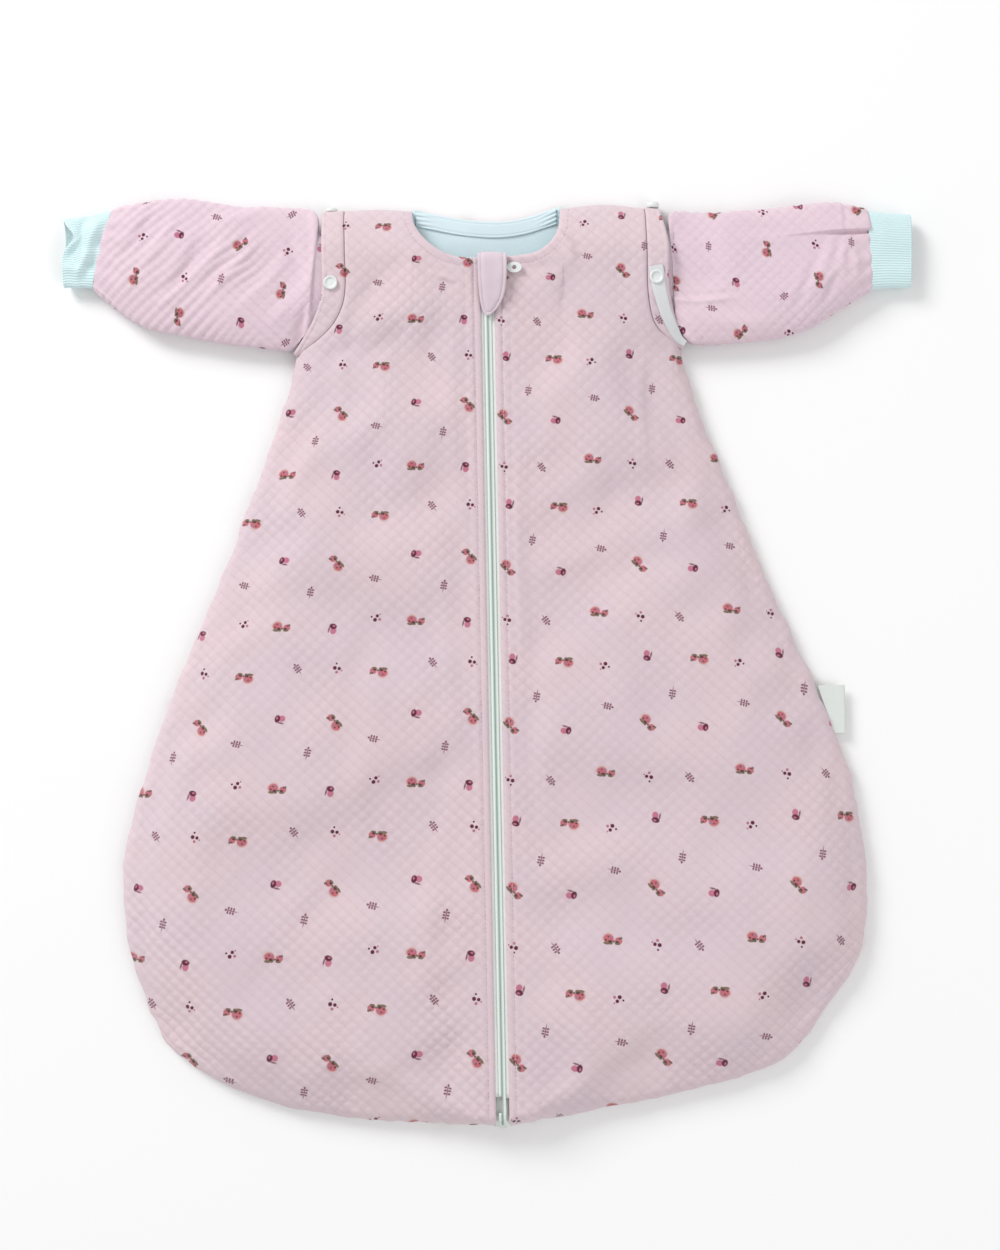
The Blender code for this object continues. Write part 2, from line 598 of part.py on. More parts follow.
def tube(name, rings, outside, wall, colour, pivot):
    """A flattened tube, open at both ends. A ring is its upper edge, lower edge, floor and ceiling."""
    along = len(rings) - 1

    def place(row, column, inset):
        upper, lower, floor, ceiling = rings[row]
        angle = 2 * math.pi * (column % AROUND) / AROUND
        c, s = math.cos(angle), math.sin(angle)
        reach = (upper - lower) / 2
        reach = reach * (1 - inset / reach.length)
        flat = (upper + lower) / 2 + reach * math.copysign(abs(c) ** ROUND, c)
        tall = (ceiling - floor) / 2 - inset
        return Vector((flat.x, flat.y, (ceiling + floor) / 2 + tall * math.copysign(abs(s) ** ROUND, s)))

    bm = bmesh.new()
    bmesh.ops.create_grid(bm, x_segments=AROUND, y_segments=along, size=0.5)
    inside = {}
    for vert in bm.verts:
        row, column = round((vert.co.y + 0.5) * along), round((vert.co.x + 0.5) * AROUND)
        vert.co = place(row, column, outside)
        inside[spot(vert.co)] = place(row, column, outside + wall)
    bmesh.ops.remove_doubles(bm, verts=bm.verts, dist=1e-6)
    inner = bmesh.ops.extrude_face_region(bm, geom=bm.faces[:])["geom"]
    for vert in (g for g in inner if isinstance(g, bmesh.types.BMVert)):
        vert.co = inside[spot(vert.co)]
    node_from(name, bm, colour, pivot)


def snap_tape(side, edge, out, pivot):
    """The tape loop round the sleeve's tucked end that carries the studs."""
    upper, lower, low, high = edge
    rings = []
    for reach in (SNAP_TAPE_FROM, SNAP_TAPE_TO):
        shift = Vector((out * reach, 0.0))
        rings.append((upper + shift, lower + shift, low, high))
    tube(f"{side}_sleeve_snap_tape", rings, -SLEEVE_GAP - TAPE_THICK, TAPE_THICK, WHITE, pivot)


def cuff(side, edge, cuff_upper, cuff_lower, pivot):
    """The rib band on the sleeve's end, a little flatter towards the hand."""
    upper, lower, low, high = edge
    rings = []
    for share in CUFF_SHARES:
        ends = (upper.lerp(Vector(cuff_upper), share), lower.lerp(Vector(cuff_lower), share))
        rings.append((*ends, low, high - CUFF_FLATTER * share))
    tube(f"{side}_sleeve_cuff", rings, SLEEVE_GAP, CUFF_WALL, MINT, pivot)


def press_studs(side, x, shoulder_y, pivot):
    """Three studs on the sleeve's tape, and the caps over them on the armhole band."""
    clear = SLEEVE_GAP + TAPE_THICK + GAP
    high = SLEEVE_CEILING[0] + clear
    low = SLEEVE_FLOOR[0] - clear - STUD_TALL
    tip = (x, shoulder_y + clear, pivot[2] - SHOULDER_STUD_DROP)
    disc(f"{side}_snap_stud_front", STUD_RADIUS, STUD_TALL, (x, SNAP_Y, high), pivot)
    disc(f"{side}_snap_stud_back", STUD_RADIUS, STUD_TALL, (x, SNAP_Y, low), pivot)
    disc(f"{side}_snap_stud_shoulder", SHOULDER_STUD_RADIUS, STUD_TALL, tip, pivot, on_edge=True)
    snap_cap(f"{side}_snap_cap_front", x, SNAP_Y, PLATEAU + GAP, 1)
    snap_cap(f"{side}_snap_cap_back", x, SNAP_Y, BACK_BAND_LOW - GAP, -1)
    tip = (x, SHOULDER_SNAP_Y, SEAM_TOP / 2 + SHOULDER_STUD_DROP / 2)
    disc(f"{side}_snap_cap_shoulder", SHOULDER_SNAP_RADIUS, SHOULDER_SNAP_TALL, tip, on_edge=True)


def sleeve(side, upper, lower, cuff_upper, cuff_lower, snap_x):
    """One sleeve as it lies, tucked into its armhole."""
    out = math.copysign(1.0, upper[0][0])
    middle = (upper[0][1] + lower[0][1]) / 2
    pivot = (upper[0][0], middle, (SLEEVE_FLOOR[0] + SLEEVE_CEILING[0]) / 2)
    ends = [(Vector(a), Vector(b)) for a, b in zip(upper, lower)]
    rings = [(*pair, low, high) for pair, low, high in zip(ends, SLEEVE_FLOOR, SLEEVE_CEILING)]
    deep = SLEEVE_SHELL + SLEEVE_GAP
    tube(f"{side}_sleeve_shell", rings, 0.0, SLEEVE_SHELL, PINK, pivot)
    tube(f"{side}_sleeve_wadding", rings[2:], deep, SLEEVE_WADDING, WOOL, pivot)
    inset = [0.0, 0.0] + [SLEEVE_WADDING + SLEEVE_GAP] * (len(rings) - 2)
    lining = []
    for (a, b, low, high), extra in zip(rings, inset):
        pull = (a - b).normalized() * extra
        lining.append((a - pull, b + pull, low + extra, high - extra))
    tube(f"{side}_sleeve_lining", lining, deep, SLEEVE_LINING, MINT, pivot)
    snap_tape(side, rings[0], out, pivot)
    cuff(side, rings[-1], cuff_upper, cuff_lower, pivot)
    press_studs(side, snap_x, upper[0][1], pivot)


def side_label():
    """A folded tape loop caught in the right side seam."""
    plate("side_label", LABEL, LABEL_LOW, LABEL_HIGH, WHITE)


clear_scene()
back()
front_right()
front_left()
armhole_band("left", ARMHOLE_LEFT, BAND_LEFT)
armhole_band("right", ARMHOLE_RIGHT, BAND_RIGHT)
zip_fastener()
slider()
puller()
chin_guard()
sleeve("left", LEFT_UPPER, LEFT_LOWER, (-0.3230, 0.3740), (-0.3235, 0.3150), -0.1178)
sleeve("right", RIGHT_UPPER, RIGHT_LOWER, (0.3230, 0.3610), (0.3220, 0.3040), 0.1272)
side_label()
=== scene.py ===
"""Looks of the baby sleeping bag: quilted printed jersey, ribbed cuffs, jersey lining, zip and press studs.

Everything is in the frame's metres. +Y runs from hem to head, +Z up, and the zip lies on X = 0.
"""

import math

import bmesh
import bpy
import numpy as np
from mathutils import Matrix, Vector


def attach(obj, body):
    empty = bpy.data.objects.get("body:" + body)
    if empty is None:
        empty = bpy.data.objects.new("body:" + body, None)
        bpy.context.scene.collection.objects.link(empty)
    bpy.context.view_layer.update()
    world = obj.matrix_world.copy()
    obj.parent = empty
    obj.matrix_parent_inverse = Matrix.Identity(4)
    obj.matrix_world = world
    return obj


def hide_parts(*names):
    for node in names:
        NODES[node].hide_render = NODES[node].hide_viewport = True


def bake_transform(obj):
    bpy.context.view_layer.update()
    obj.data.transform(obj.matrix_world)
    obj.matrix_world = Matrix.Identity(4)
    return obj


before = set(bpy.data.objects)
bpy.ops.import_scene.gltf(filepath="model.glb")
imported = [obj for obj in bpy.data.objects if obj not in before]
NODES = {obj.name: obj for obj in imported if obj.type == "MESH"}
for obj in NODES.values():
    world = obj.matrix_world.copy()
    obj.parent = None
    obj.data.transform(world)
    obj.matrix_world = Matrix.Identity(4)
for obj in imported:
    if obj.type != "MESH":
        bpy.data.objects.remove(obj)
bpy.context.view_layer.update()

MM = 0.001

# Heights of the layers.
BACK_TOP = 6.0 * MM
SEAM_TOP = 11.5 * MM
CAVITY = 15.0 * MM
SEAM_LEVEL = 6.15 * MM
EDGE_ROLL = 8.0 * MM
FRONT_THICK = 4.8 * MM
SIDE_REACH = 65 * MM
HEM_REACH = 65 * MM
ZIP_HEM_REACH = 14 * MM
SHOULDER_REACH = 40 * MM

# Diamond quilting: how far apart the pinched points are across and along, and how high a puff stands.
QUILT = (10.6 * MM, 9.8 * MM)
PUFF = 1.2 * MM

# From the zip's middle to the cloth's edge, and to the row of stitches beside it.
PANEL_EDGE = 4.9 * MM
PLACKET_LINE = 10.4 * MM

# How far a fold bows sideways, as a share of its length.
FOLD_BOW = 0.036

# Plan outlines, from the head downwards.
BACK_NECK = [(-0.0565, 0.3720), (-0.0460, 0.3695), (-0.0200, 0.3640), (0.0070, 0.3615), (0.0300, 0.3640),
             (0.0565, 0.3725)]
NECK_LEFT = [(-0.0049, 0.3305), (-0.0200, 0.3310), (-0.0330, 0.3352), (-0.0450, 0.3440), (-0.0540, 0.3570),
             (-0.0565, 0.3700)]
NECK_RIGHT = [(0.0049, 0.3305), (0.0200, 0.3312), (0.0360, 0.3335), (0.0475, 0.3410), (0.0540, 0.3520),
              (0.0565, 0.3700)]
SHOULDER_LEFT = [(-0.0565, 0.3700), (-0.0830, 0.3718), (-0.1080, 0.3710)]
SHOULDER_RIGHT = [(0.0565, 0.3700), (0.0900, 0.3725), (0.1205, 0.3690)]
ARMHOLE_LEFT = [(-0.1080, 0.3710), (-0.1070, 0.3390), (-0.1080, 0.3010), (-0.1190, 0.2800), (-0.1455, 0.2605)]
ARMHOLE_RIGHT = [(0.1205, 0.3690), (0.1205, 0.3350), (0.1210, 0.3000), (0.1265, 0.2780), (0.1465, 0.2605)]
BAND_LEFT = [(-0.1250, 0.3700), (-0.1245, 0.3390), (-0.1250, 0.3060), (-0.1335, 0.2840), (-0.1485, 0.2625)]
BAND_RIGHT = [(0.1320, 0.3680), (0.1370, 0.3390), (0.1370, 0.3060), (0.1415, 0.2840), (0.1495, 0.2625)]
SIDE_LEFT = [(-0.1455, 0.2605), (-0.1560, 0.2240), (-0.1775, 0.1660), (-0.2080, 0.0910), (-0.2410, 0.0160),
             (-0.2660, -0.0520), (-0.2825, -0.1050), (-0.2862, -0.1500), (-0.2790, -0.2000),
             (-0.2600, -0.2550)]
SIDE_RIGHT = [(0.1465, 0.2605), (0.1570, 0.2200), (0.1800, 0.1600), (0.2090, 0.0840), (0.2420, 0.0080),
              (0.2660, -0.0530), (0.2770, -0.1050), (0.2808, -0.1600), (0.2735, -0.2040),
              (0.2440, -0.2490)]
HEM_LEFT = [(-0.2600, -0.2550), (-0.2400, -0.2750), (-0.2050, -0.2960), (-0.1500, -0.3140),
            (-0.0800, -0.3230),
            (-0.0049, -0.3290)]
HEM_RIGHT = [(0.2440, -0.2490), (0.2200, -0.2775), (0.1850, -0.2935), (0.1270, -0.3072), (0.0520, -0.3212),
             (0.0049, -0.3290)]

# Sleeves, from the end tucked inside the armhole to the cuff: upper edge, lower edge, floor, ceiling.
LEFT_UPPER = [(-0.1125, 0.3500), (-0.1270, 0.3500), (-0.1370, 0.3640), (-0.1520, 0.3728), (-0.1830, 0.3760),
              (-0.2440, 0.3805), (-0.2620, 0.3790), (-0.2860, 0.3745)]
LEFT_LOWER = [(-0.1125, 0.2880), (-0.1270, 0.2880), (-0.1430, 0.2800), (-0.1580, 0.2685), (-0.1850, 0.2700),
              (-0.2300, 0.2780), (-0.2640, 0.2870), (-0.3010, 0.3150)]
RIGHT_UPPER = [(0.1205, 0.3480), (0.1390, 0.3480), (0.1480, 0.3600), (0.1600, 0.3640), (0.1840, 0.3645),
               (0.2390, 0.3662), (0.2660, 0.3685), (0.2905, 0.3640)]
RIGHT_LOWER = [(0.1205, 0.2890), (0.1390, 0.2890), (0.1510, 0.2790), (0.1630, 0.2668), (0.1880, 0.2652),
               (0.2370, 0.2720), (0.2660, 0.2870), (0.2935, 0.3035)]
SLEEVE_FLOOR = [0.0083, 0.0083, 0.0055, 0.0014, 0.0005, 0.0005, 0.0005, 0.0005]
SLEEVE_CEILING = [0.0180, 0.0180, 0.0188, 0.0197, 0.0200, 0.0194, 0.0186, 0.0170]

# Print lattices: where cell (0, 0) starts, its two sides, and how the sides grow from row to row.
PRINT_LEFT = ((-0.0561, 0.1740), (0.0971, 0.0043), (-0.0021, -0.1132), (0.0032, -0.0010), (0.0, -0.0029))
PRINT_RIGHT = ((0.0761, 0.1761), (0.0959, 0.0005), (0.0028, -0.1122), (0.0038, 0.0), (0.0, -0.0027))


# ---------------------------------------------------------------- numbers


def lengths_along(points):
    """How far each point of a chain is from its start."""
    return np.concatenate([[0.0], np.cumsum(np.linalg.norm(np.diff(points, axis=0), axis=1))])


def spline(points, count):
    """count + 1 points spaced evenly along a smooth curve through the given ones."""
    p = np.array(points, float)
    chord = lengths_along(p)
    dense = []
    for i in range(len(p) - 1):
        before = p[i - 1] if i > 0 else 2 * p[i] - p[i + 1]
        after = p[i + 2] if i + 2 < len(p) else 2 * p[i + 1] - p[i]
        span = chord[i + 1] - chord[i]
        lead = (p[i + 1] - before) / np.linalg.norm(p[i + 1] - before) * span
        trail = (after - p[i]) / np.linalg.norm(after - p[i]) * span
        t = np.linspace(0, 1, 25)[:, None]
        piece = p[i] * (2 * t**3 - 3 * t**2 + 1) + lead * (t**3 - 2 * t**2 + t)
        piece += p[i + 1] * (3 * t**2 - 2 * t**3) + trail * (t**3 - t**2)
        dense.append(piece if i == 0 else piece[1:])
    return at_shares(np.vstack(dense), np.linspace(0, 1, count + 1))


def at_shares(points, shares):
    """Points of a chain at these shares of its length."""
    p = np.asarray(points, float)
    reach = lengths_along(p)
    at = np.asarray(shares) * reach[-1]
    return np.stack([np.interp(at, reach, p[:, k]) for k in range(p.shape[1])], axis=1)


def closer_at_ends(count, amount):
    """Shares from 0 to 1 that lie closer together towards both ends."""
    t = np.linspace(0, 1, count + 1)
    return (1 - amount) * t + amount * (0.5 - 0.5 * np.cos(math.pi * t))


def patch(top, bottom, inner, outer, rows, columns):
    """Plan positions of a four-sided patch with these edges, as rows x columns x 2."""
    v, u = np.asarray(rows)[:, None, None], np.asarray(columns)[None, :, None]
    t, b = at_shares(top, columns)[None], at_shares(bottom, columns)[None]
    i, o = at_shares(inner, rows)[:, None], at_shares(outer, rows)[:, None]
    plain = (t[:, :1] * (1 - u) + t[:, -1:] * u) * (1 - v) + (b[:, :1] * (1 - u) + b[:, -1:] * u) * v
    return t * (1 - v) + b * v + i * (1 - u) + o * u - plain


def distance_to(xy, line):
    """The shortest way from each plan point to a chain of straight pieces."""
    best = np.full(xy.shape[:-1], 1.0)
    line = np.asarray(line, float)
    for a, b in zip(line, line[1:]):
        along = b - a
        share = np.clip(((xy - a) @ along) / max(along @ along, 1e-12), 0, 1)
        best = np.minimum(best, np.linalg.norm(xy - a - share[..., None] * along, axis=-1))
    return best


def smooth(x, low, high):
    """0 below low, 1 above high, and an S-curve between them."""
    t = np.clip((x - low) / (high - low), 0, 1)
    return t * t * (3 - 2 * t)


def rise(distance, reach):
    """How full the bag is at this distance from a seam: 0 on it and 1 beyond the reach."""
    return 1 - (1 - np.clip(distance / reach, 0, 1)) ** 2


def roll(distance, radius):
    """The quarter circle by which a padded edge turns down to its seam."""
    return np.sqrt(1 - (1 - np.clip(distance / radius, 0, 1)) ** 2)


def ridge(distance, middle, width):
    """A soft ridge, 1 at its middle."""
    return np.exp(-(((distance - middle) / width) ** 2))


def lifted(plan, height):
    """Plan positions with their heights."""
    return np.concatenate([plan, height[..., None]], axis=-1)


def waves(x, y, length, seed, count=7):
    """Gentle unevenness of about this wavelength, from -1 to 1."""
    rng = np.random.default_rng(seed)
    total = np.zeros_like(x)
    for _ in range(count):
        angle, phase = rng.uniform(0, 2 * math.pi, 2)
        k = 2 * math.pi / (length * rng.uniform(0.7, 1.5))
        total += np.sin(k * (x * math.cos(angle) + y * math.sin(angle)) + phase)
    return total / count**0.5 / 1.6


def quilting(x, y, seed, period=QUILT):
    """Height of the diamond quilting, 0 on the stitched lines and up to 1 on a puff."""
    warp = 0.7 * MM * waves(x, y, 55 * MM, seed)
    p = (x + warp) / period[0]
    q = (y + 0.6 * MM * waves(x, y, 47 * MM, seed + 9)) / period[1]
    first, second = np.abs(np.sin(math.pi * (p + q))), np.abs(np.sin(math.pi * (p - q)))
    full = 0.72 + 0.42 * waves(x, y, 70 * MM, seed + 5) + 0.15 * waves(x, y, 25 * MM, seed + 6)
    return first**0.85 * second**0.3 * np.clip(full, 0.25, 1.3)


def creases(x, y, folds):
    """Sum of soft folds. Each is its two ends, its width and its height."""
    total = np.zeros_like(x)
    for ax, ay, bx, by, width, tall in folds:
        a, b = np.array([ax, ay]) * MM, np.array([bx, by]) * MM
        along = b - a
        length = np.linalg.norm(along)
        along /= length
        s = (x - a[0]) * along[0] + (y - a[1]) * along[1]
        d = -(x - a[0]) * along[1] + (y - a[1]) * along[0]
        d = d + FOLD_BOW * length * np.sin(math.pi * np.clip(s / length, 0, 1))
        fade = np.exp(-(np.clip(np.abs(s - length / 2) / (length / 2), 0, None) ** 4) * 1.4)
        w = width * MM
        total += tall * MM * fade * (ridge(d, 0, w) - 0.55 * ridge(d, 1.5 * w, w))
    return total


def print_cells(x, y, lattice, half_turn):
    """Where each point lies in the print, counted in repeats across and down."""
    origin, across, down, across_grows, down_grows = (np.array(v) for v in lattice)
    u, v = np.zeros_like(x), np.zeros_like(x)
    for _ in range(12):
        a = across[:, None] + across_grows[:, None] * v.ravel()
        b = down[:, None] + down_grows[:, None] * v.ravel()
        det = a[0] * b[1] - a[1] * b[0]
        dx, dy = x.ravel() - origin[0], y.ravel() - origin[1]
        u = ((dx * b[1] - dy * b[0]) / det).reshape(x.shape)
        v = np.clip((a[0] * dy - a[1] * dx) / det, -3, 6).reshape(x.shape)
    return (0.728 - u, 0.305 - v) if half_turn else (u, v)


# ---------------------------------------------------------------- meshes


def object_from(name, vertices, faces, materials, slots=None):
    """A smooth-shaded object from plain lists."""
    mesh = bpy.data.meshes.new(name)
    mesh.from_pydata(np.asarray(vertices).reshape(-1, 3).tolist(), [], faces)
    for material in materials:
        mesh.materials.append(material)
    if slots is not None:
        mesh.polygons.foreach_set("material_index", np.asarray(slots, np.int32))
    mesh.polygons.foreach_set("use_smooth", np.full(len(mesh.polygons), True))
    mesh.update()
    obj = bpy.data.objects.new(name, mesh)
    bpy.context.scene.collection.objects.link(obj)
    return obj


def face_out(obj):
    """Turns every face outwards."""
    bm = bmesh.new()
    bm.from_mesh(obj.data)
    bmesh.ops.recalc_face_normals(bm, faces=bm.faces)
    bm.to_mesh(obj.data)
    bm.free()


def note(obj, name, values):
    """Keeps one plan position or print position per vertex for the materials."""
    values = np.asarray(values, np.float32).reshape(-1, values.shape[-1])
    if values.shape[1] == 2:
        values = np.hstack([values, np.zeros((len(values), 1), np.float32)])
    kept = obj.data.attributes.new(name, "FLOAT_VECTOR", "POINT")
    kept.data.foreach_set("vector", values.ravel())


def rim_loop(rows, columns):
    """Row and column of each vertex round the edge of a grid, in order."""
    loop = [(0, j) for j in range(columns)] + [(i, columns) for i in range(rows)]
    loop += [(rows, j) for j in range(columns, 0, -1)] + [(i, 0) for i in range(rows, 0, -1)]
    return loop


def slab(name, outer, inner, materials, flat, cells=None):
    """A closed sheet: a fine outer grid, an inner grid with half as many steps, and a rim between them."""
    rows, columns = outer.shape[0] - 1, outer.shape[1] - 1
    ir, ic = rows // 2, columns // 2
    base = (rows + 1) * (columns + 1)
    index = np.arange(base).reshape(rows + 1, columns + 1)
    below = base + np.arange((ir + 1) * (ic + 1)).reshape(ir + 1, ic + 1)

    def quads(grid):
        return np.stack([grid[:-1, :-1], grid[1:, :-1], grid[1:, 1:], grid[:-1, 1:]], axis=-1).reshape(-1, 4)

    faces = quads(index).tolist()
    fine = [int(index[i, j]) for i, j in rim_loop(rows, columns)]
    coarse = [int(below[i, j]) for i, j in rim_loop(ir, ic)]
    rim = []
    for k in range(len(coarse)):
        a, b, c = (fine[(2 * k + s) % len(fine)] for s in range(3))
        rim.append([a, b, c, coarse[(k + 1) % len(coarse)], coarse[k]])
    under = quads(below)[:, ::-1].tolist()
    slots = [0] * (len(faces) + len(rim)) + [len(materials) - 1] * len(under)
    vertices = np.vstack([outer.reshape(-1, 3), inner.reshape(-1, 3)])
    obj = object_from(name, vertices, faces + rim + under, materials, slots)
    face_out(obj)
    note(obj, "flat", np.vstack([flat.reshape(-1, 2), flat[::2, ::2].reshape(-1, 2)]))
    if cells is not None:
        note(obj, "cells", np.vstack([cells.reshape(-1, 2), cells[::2, ::2].reshape(-1, 2)]))
    return obj


def lathe(name, profile, place, material, flip=False, steps=32, upright=True):
    """A turned piece from (radius, height) pairs, closed on its axis, standing up or facing along +Y."""
    ring = len(profile)
    vertices, faces = [], []
    for k in range(steps):
        a = 2 * math.pi * k / steps
        for r, z in profile:
            r = max(r, 1e-6)
            p = (r * math.cos(a), r * math.sin(a), -z if flip else z)
            vertices.append(p if upright else (p[0], p[2], p[1]))
    for k in range(steps):
        for i in range(ring - 1):
            n = (k + 1) % steps
            faces.append([k * ring + i, n * ring + i, n * ring + i + 1, k * ring + i + 1])
    obj = object_from(name, np.array(vertices) + np.array(place), faces, [material])
    bm = bmesh.new()
    bm.from_mesh(obj.data)
    bmesh.ops.remove_doubles(bm, verts=bm.verts, dist=5e-6)
    bmesh.ops.recalc_face_normals(bm, faces=bm.faces)
    bm.to_mesh(obj.data)
    bm.free()
    return obj


def beads(name, centres, directions, ups, size, material, sides=6):
    """Many small rounded rods, such as stitches or coil teeth: (length, width, height) each."""
    rings = [(-0.5, 0.35), (-0.38, 0.85), (0.0, 1.0), (0.38, 0.85), (0.5, 0.35)]
    length, width, height = size
    template = []
    for s, r in rings:
        for k in range(sides):
            a = 2 * math.pi * k / sides
            template.append((s * length, r * math.cos(a) * width / 2, r * math.sin(a) * height / 2))
    template = np.array(template)
    one = []
    for i in range(len(rings) - 1):
        for k in range(sides):
            n = (k + 1) % sides
            one.append([i * sides + k, i * sides + n, (i + 1) * sides + n, (i + 1) * sides + k])
    caps = [list(range(sides))[::-1], list(range((len(rings) - 1) * sides, len(rings) * sides))]
    along = np.asarray(directions, float)
    along = along / np.linalg.norm(along, axis=1, keepdims=True)
    side = np.cross(np.asarray(ups, float), along)
    side /= np.linalg.norm(side, axis=1, keepdims=True)
    up = np.cross(along, side)
    axes = np.stack([along, side, up], axis=1)
    vertices = np.einsum("vk,nkc->nvc", template, axes) + np.asarray(centres)[:, None]
    faces = []
    for n in range(len(vertices)):
        shift = n * len(template)
        faces += [[shift + i for i in f] for f in one + caps]
    obj = object_from(name, vertices.reshape(-1, 3), faces, [material])
    face_out(obj)
    return obj


# ---------------------------------------------------------------- materials


class Shader:
    """A material's node tree with short ways to add nodes and join them."""

    def __init__(self, name, roughness=0.85, sheen=0.0, specular=0.35):
        self.material = bpy.data.materials.new(name)
        self.material.use_nodes = True
        self.tree = self.material.node_tree
        self.shader = self.tree.nodes["Principled BSDF"]
        self.shader.inputs["Roughness"].default_value = roughness
        self.shader.inputs["Sheen Weight"].default_value = sheen
        self.shader.inputs["Sheen Roughness"].default_value = 0.55
        self.shader.inputs["Specular IOR Level"].default_value = specular

    def put(self, node, socket, value):
        if value is None:
            return
        if isinstance(value, bpy.types.NodeSocket):
            self.tree.links.new(value, node.inputs[socket])
        else:
            node.inputs[socket].default_value = value

    def math(self, operation, a, b=None, c=None):
        node = self.tree.nodes.new("ShaderNodeMath")
        node.operation = operation
        for k, value in enumerate((a, b, c)):
            self.put(node, k, value)
        return node.outputs[0]

    def vector(self, operation, a, b=None, c=None, scale=None):
        node = self.tree.nodes.new("ShaderNodeVectorMath")
        node.operation = operation
        for k, value in enumerate((a, b, c)):
            self.put(node, k, value)
        self.put(node, "Scale", scale)
        return node.outputs["Value" if operation == "LENGTH" else "Vector"]

    def ramp(self, value, low, high, to_low=0.0, to_high=1.0):
        node = self.tree.nodes.new("ShaderNodeMapRange")
        node.interpolation_type = "SMOOTHSTEP"
        self.put(node, "Value", value)
        numbers = {"From Min": low, "From Max": high, "To Min": to_low, "To Max": to_high}
        for socket, number in numbers.items():
            self.put(node, socket, number)
        return node.outputs["Result"]

    def mix(self, share, a, b):
        node = self.tree.nodes.new("ShaderNodeMix")
        node.data_type = "RGBA"
        self.put(node, "Factor", share)
        for socket, value in (("A", a), ("B", b)):
            target = [s for s in node.inputs if s.name == socket and s.type == "RGBA"][0]
            if isinstance(value, bpy.types.NodeSocket):
                self.tree.links.new(value, target)
            else:
                target.default_value = (*value, 1.0)
        return [s for s in node.outputs if s.type == "RGBA"][0]

    def attribute(self, name):
        node = self.tree.nodes.new("ShaderNodeAttribute")
        node.attribute_name = name
        return node.outputs["Vector"]

    def noise(self, place, scale, detail=3.0):
        node = self.tree.nodes.new("ShaderNodeTexNoise")
        self.put(node, "Vector", place)
        self.put(node, "Scale", scale)
        self.put(node, "Detail", detail)
        return node.outputs["Fac"]

    def split(self, place):
        node = self.tree.nodes.new("ShaderNodeSeparateXYZ")
        self.put(node, 0, place)
        return node.outputs

    def join(self, x, y, z=0.0):
        node = self.tree.nodes.new("ShaderNodeCombineXYZ")
        for k, value in enumerate((x, y, z)):
            self.put(node, k, value)
        return node.outputs[0]

    def turn(self, place, angle):
        node = self.tree.nodes.new("ShaderNodeVectorRotate")
        node.rotation_type = "Z_AXIS"
        self.put(node, "Vector", place)
        node.inputs["Angle"].default_value = angle
        return node.outputs[0]

    def bump(self, height, distance, strength=1.0, under=None):
        node = self.tree.nodes.new("ShaderNodeBump")
        self.put(node, "Height", height)
        node.inputs["Distance"].default_value = distance
        node.inputs["Strength"].default_value = strength
        self.put(node, "Normal", under)
        return node.outputs[0]

    def finish(self, colour=None, normal=None, roughness=None):
        self.put(self.shader, "Base Color", colour)
        self.put(self.shader, "Normal", normal)
        self.put(self.shader, "Roughness", roughness)
        return self.material


def object_place(s):
    """The object's own coordinates, for pieces without fabric coordinates."""
    node = s.tree.nodes.new("ShaderNodeTexCoord")
    return node.outputs["Object"]


def knit(s, place, wale=0.9 * MM, course=0.7 * MM):
    """Height of jersey stitches: small V-shaped loops in columns."""
    x, y, _ = s.split(place)
    column = s.math("MULTIPLY", x, 1 / wale)
    lean = s.math("ABSOLUTE", s.math("SUBTRACT", s.math("FRACT", column), 0.5))
    row = s.math("ADD", s.math("MULTIPLY", y, 1 / course), s.math("MULTIPLY", lean, 1.2))
    loops = s.math("SINE", s.math("MULTIPLY", row, 2 * math.pi))
    groove = s.math("COSINE", s.math("MULTIPLY", column, 2 * math.pi))
    return s.math("MULTIPLY_ADD", loops, 0.4, s.math("MULTIPLY", groove, -0.6))


# The print's repeat, how far a motif reaches, and a place where nothing is drawn, all in millimetres.
REPEAT = (97.0, 115.0)
MOTIF_REACH = 14.0
FAR_AWAY = 60.0


def blob(s, place, x, y, rx, ry, soft=0.22):
    """1 inside an ellipse and 0 outside it, with a soft edge."""
    scaled = s.vector("MULTIPLY_ADD", place, (1 / rx, 1 / ry, 0.0), (-x / rx, -y / ry, 0.0))
    return s.ramp(s.vector("LENGTH", scaled), 1 - soft, 1 + soft, 1.0, 0.0)


def motif_place(s, cells, spots, size=1.0):
    """Millimetres from the nearest of these motifs, each (across, down, angle) in the repeat."""
    total, found = None, None
    for u, v, angle in spots:
        near = s.vector("SUBTRACT", cells, (u - 0.5, v - 0.5, 0.0))
        near = s.vector("SUBTRACT", s.vector("FRACTION", near), (0.5, 0.5, 0.0))
        near = s.vector("MULTIPLY", near, (REPEAT[0] / size, -REPEAT[1] / size, 0.0))
        near = s.turn(near, math.radians(-angle))
        inside = s.math("LESS_THAN", s.vector("LENGTH", near), MOTIF_REACH)
        part = s.vector("SCALE", near, scale=inside)
        total = part if total is None else s.vector("ADD", total, part)
        found = inside if found is None else s.math("ADD", found, inside)
    away = s.math("MULTIPLY", s.math("SUBTRACT", 1.0, found), FAR_AWAY)
    return s.vector("ADD", total, s.join(away, away))


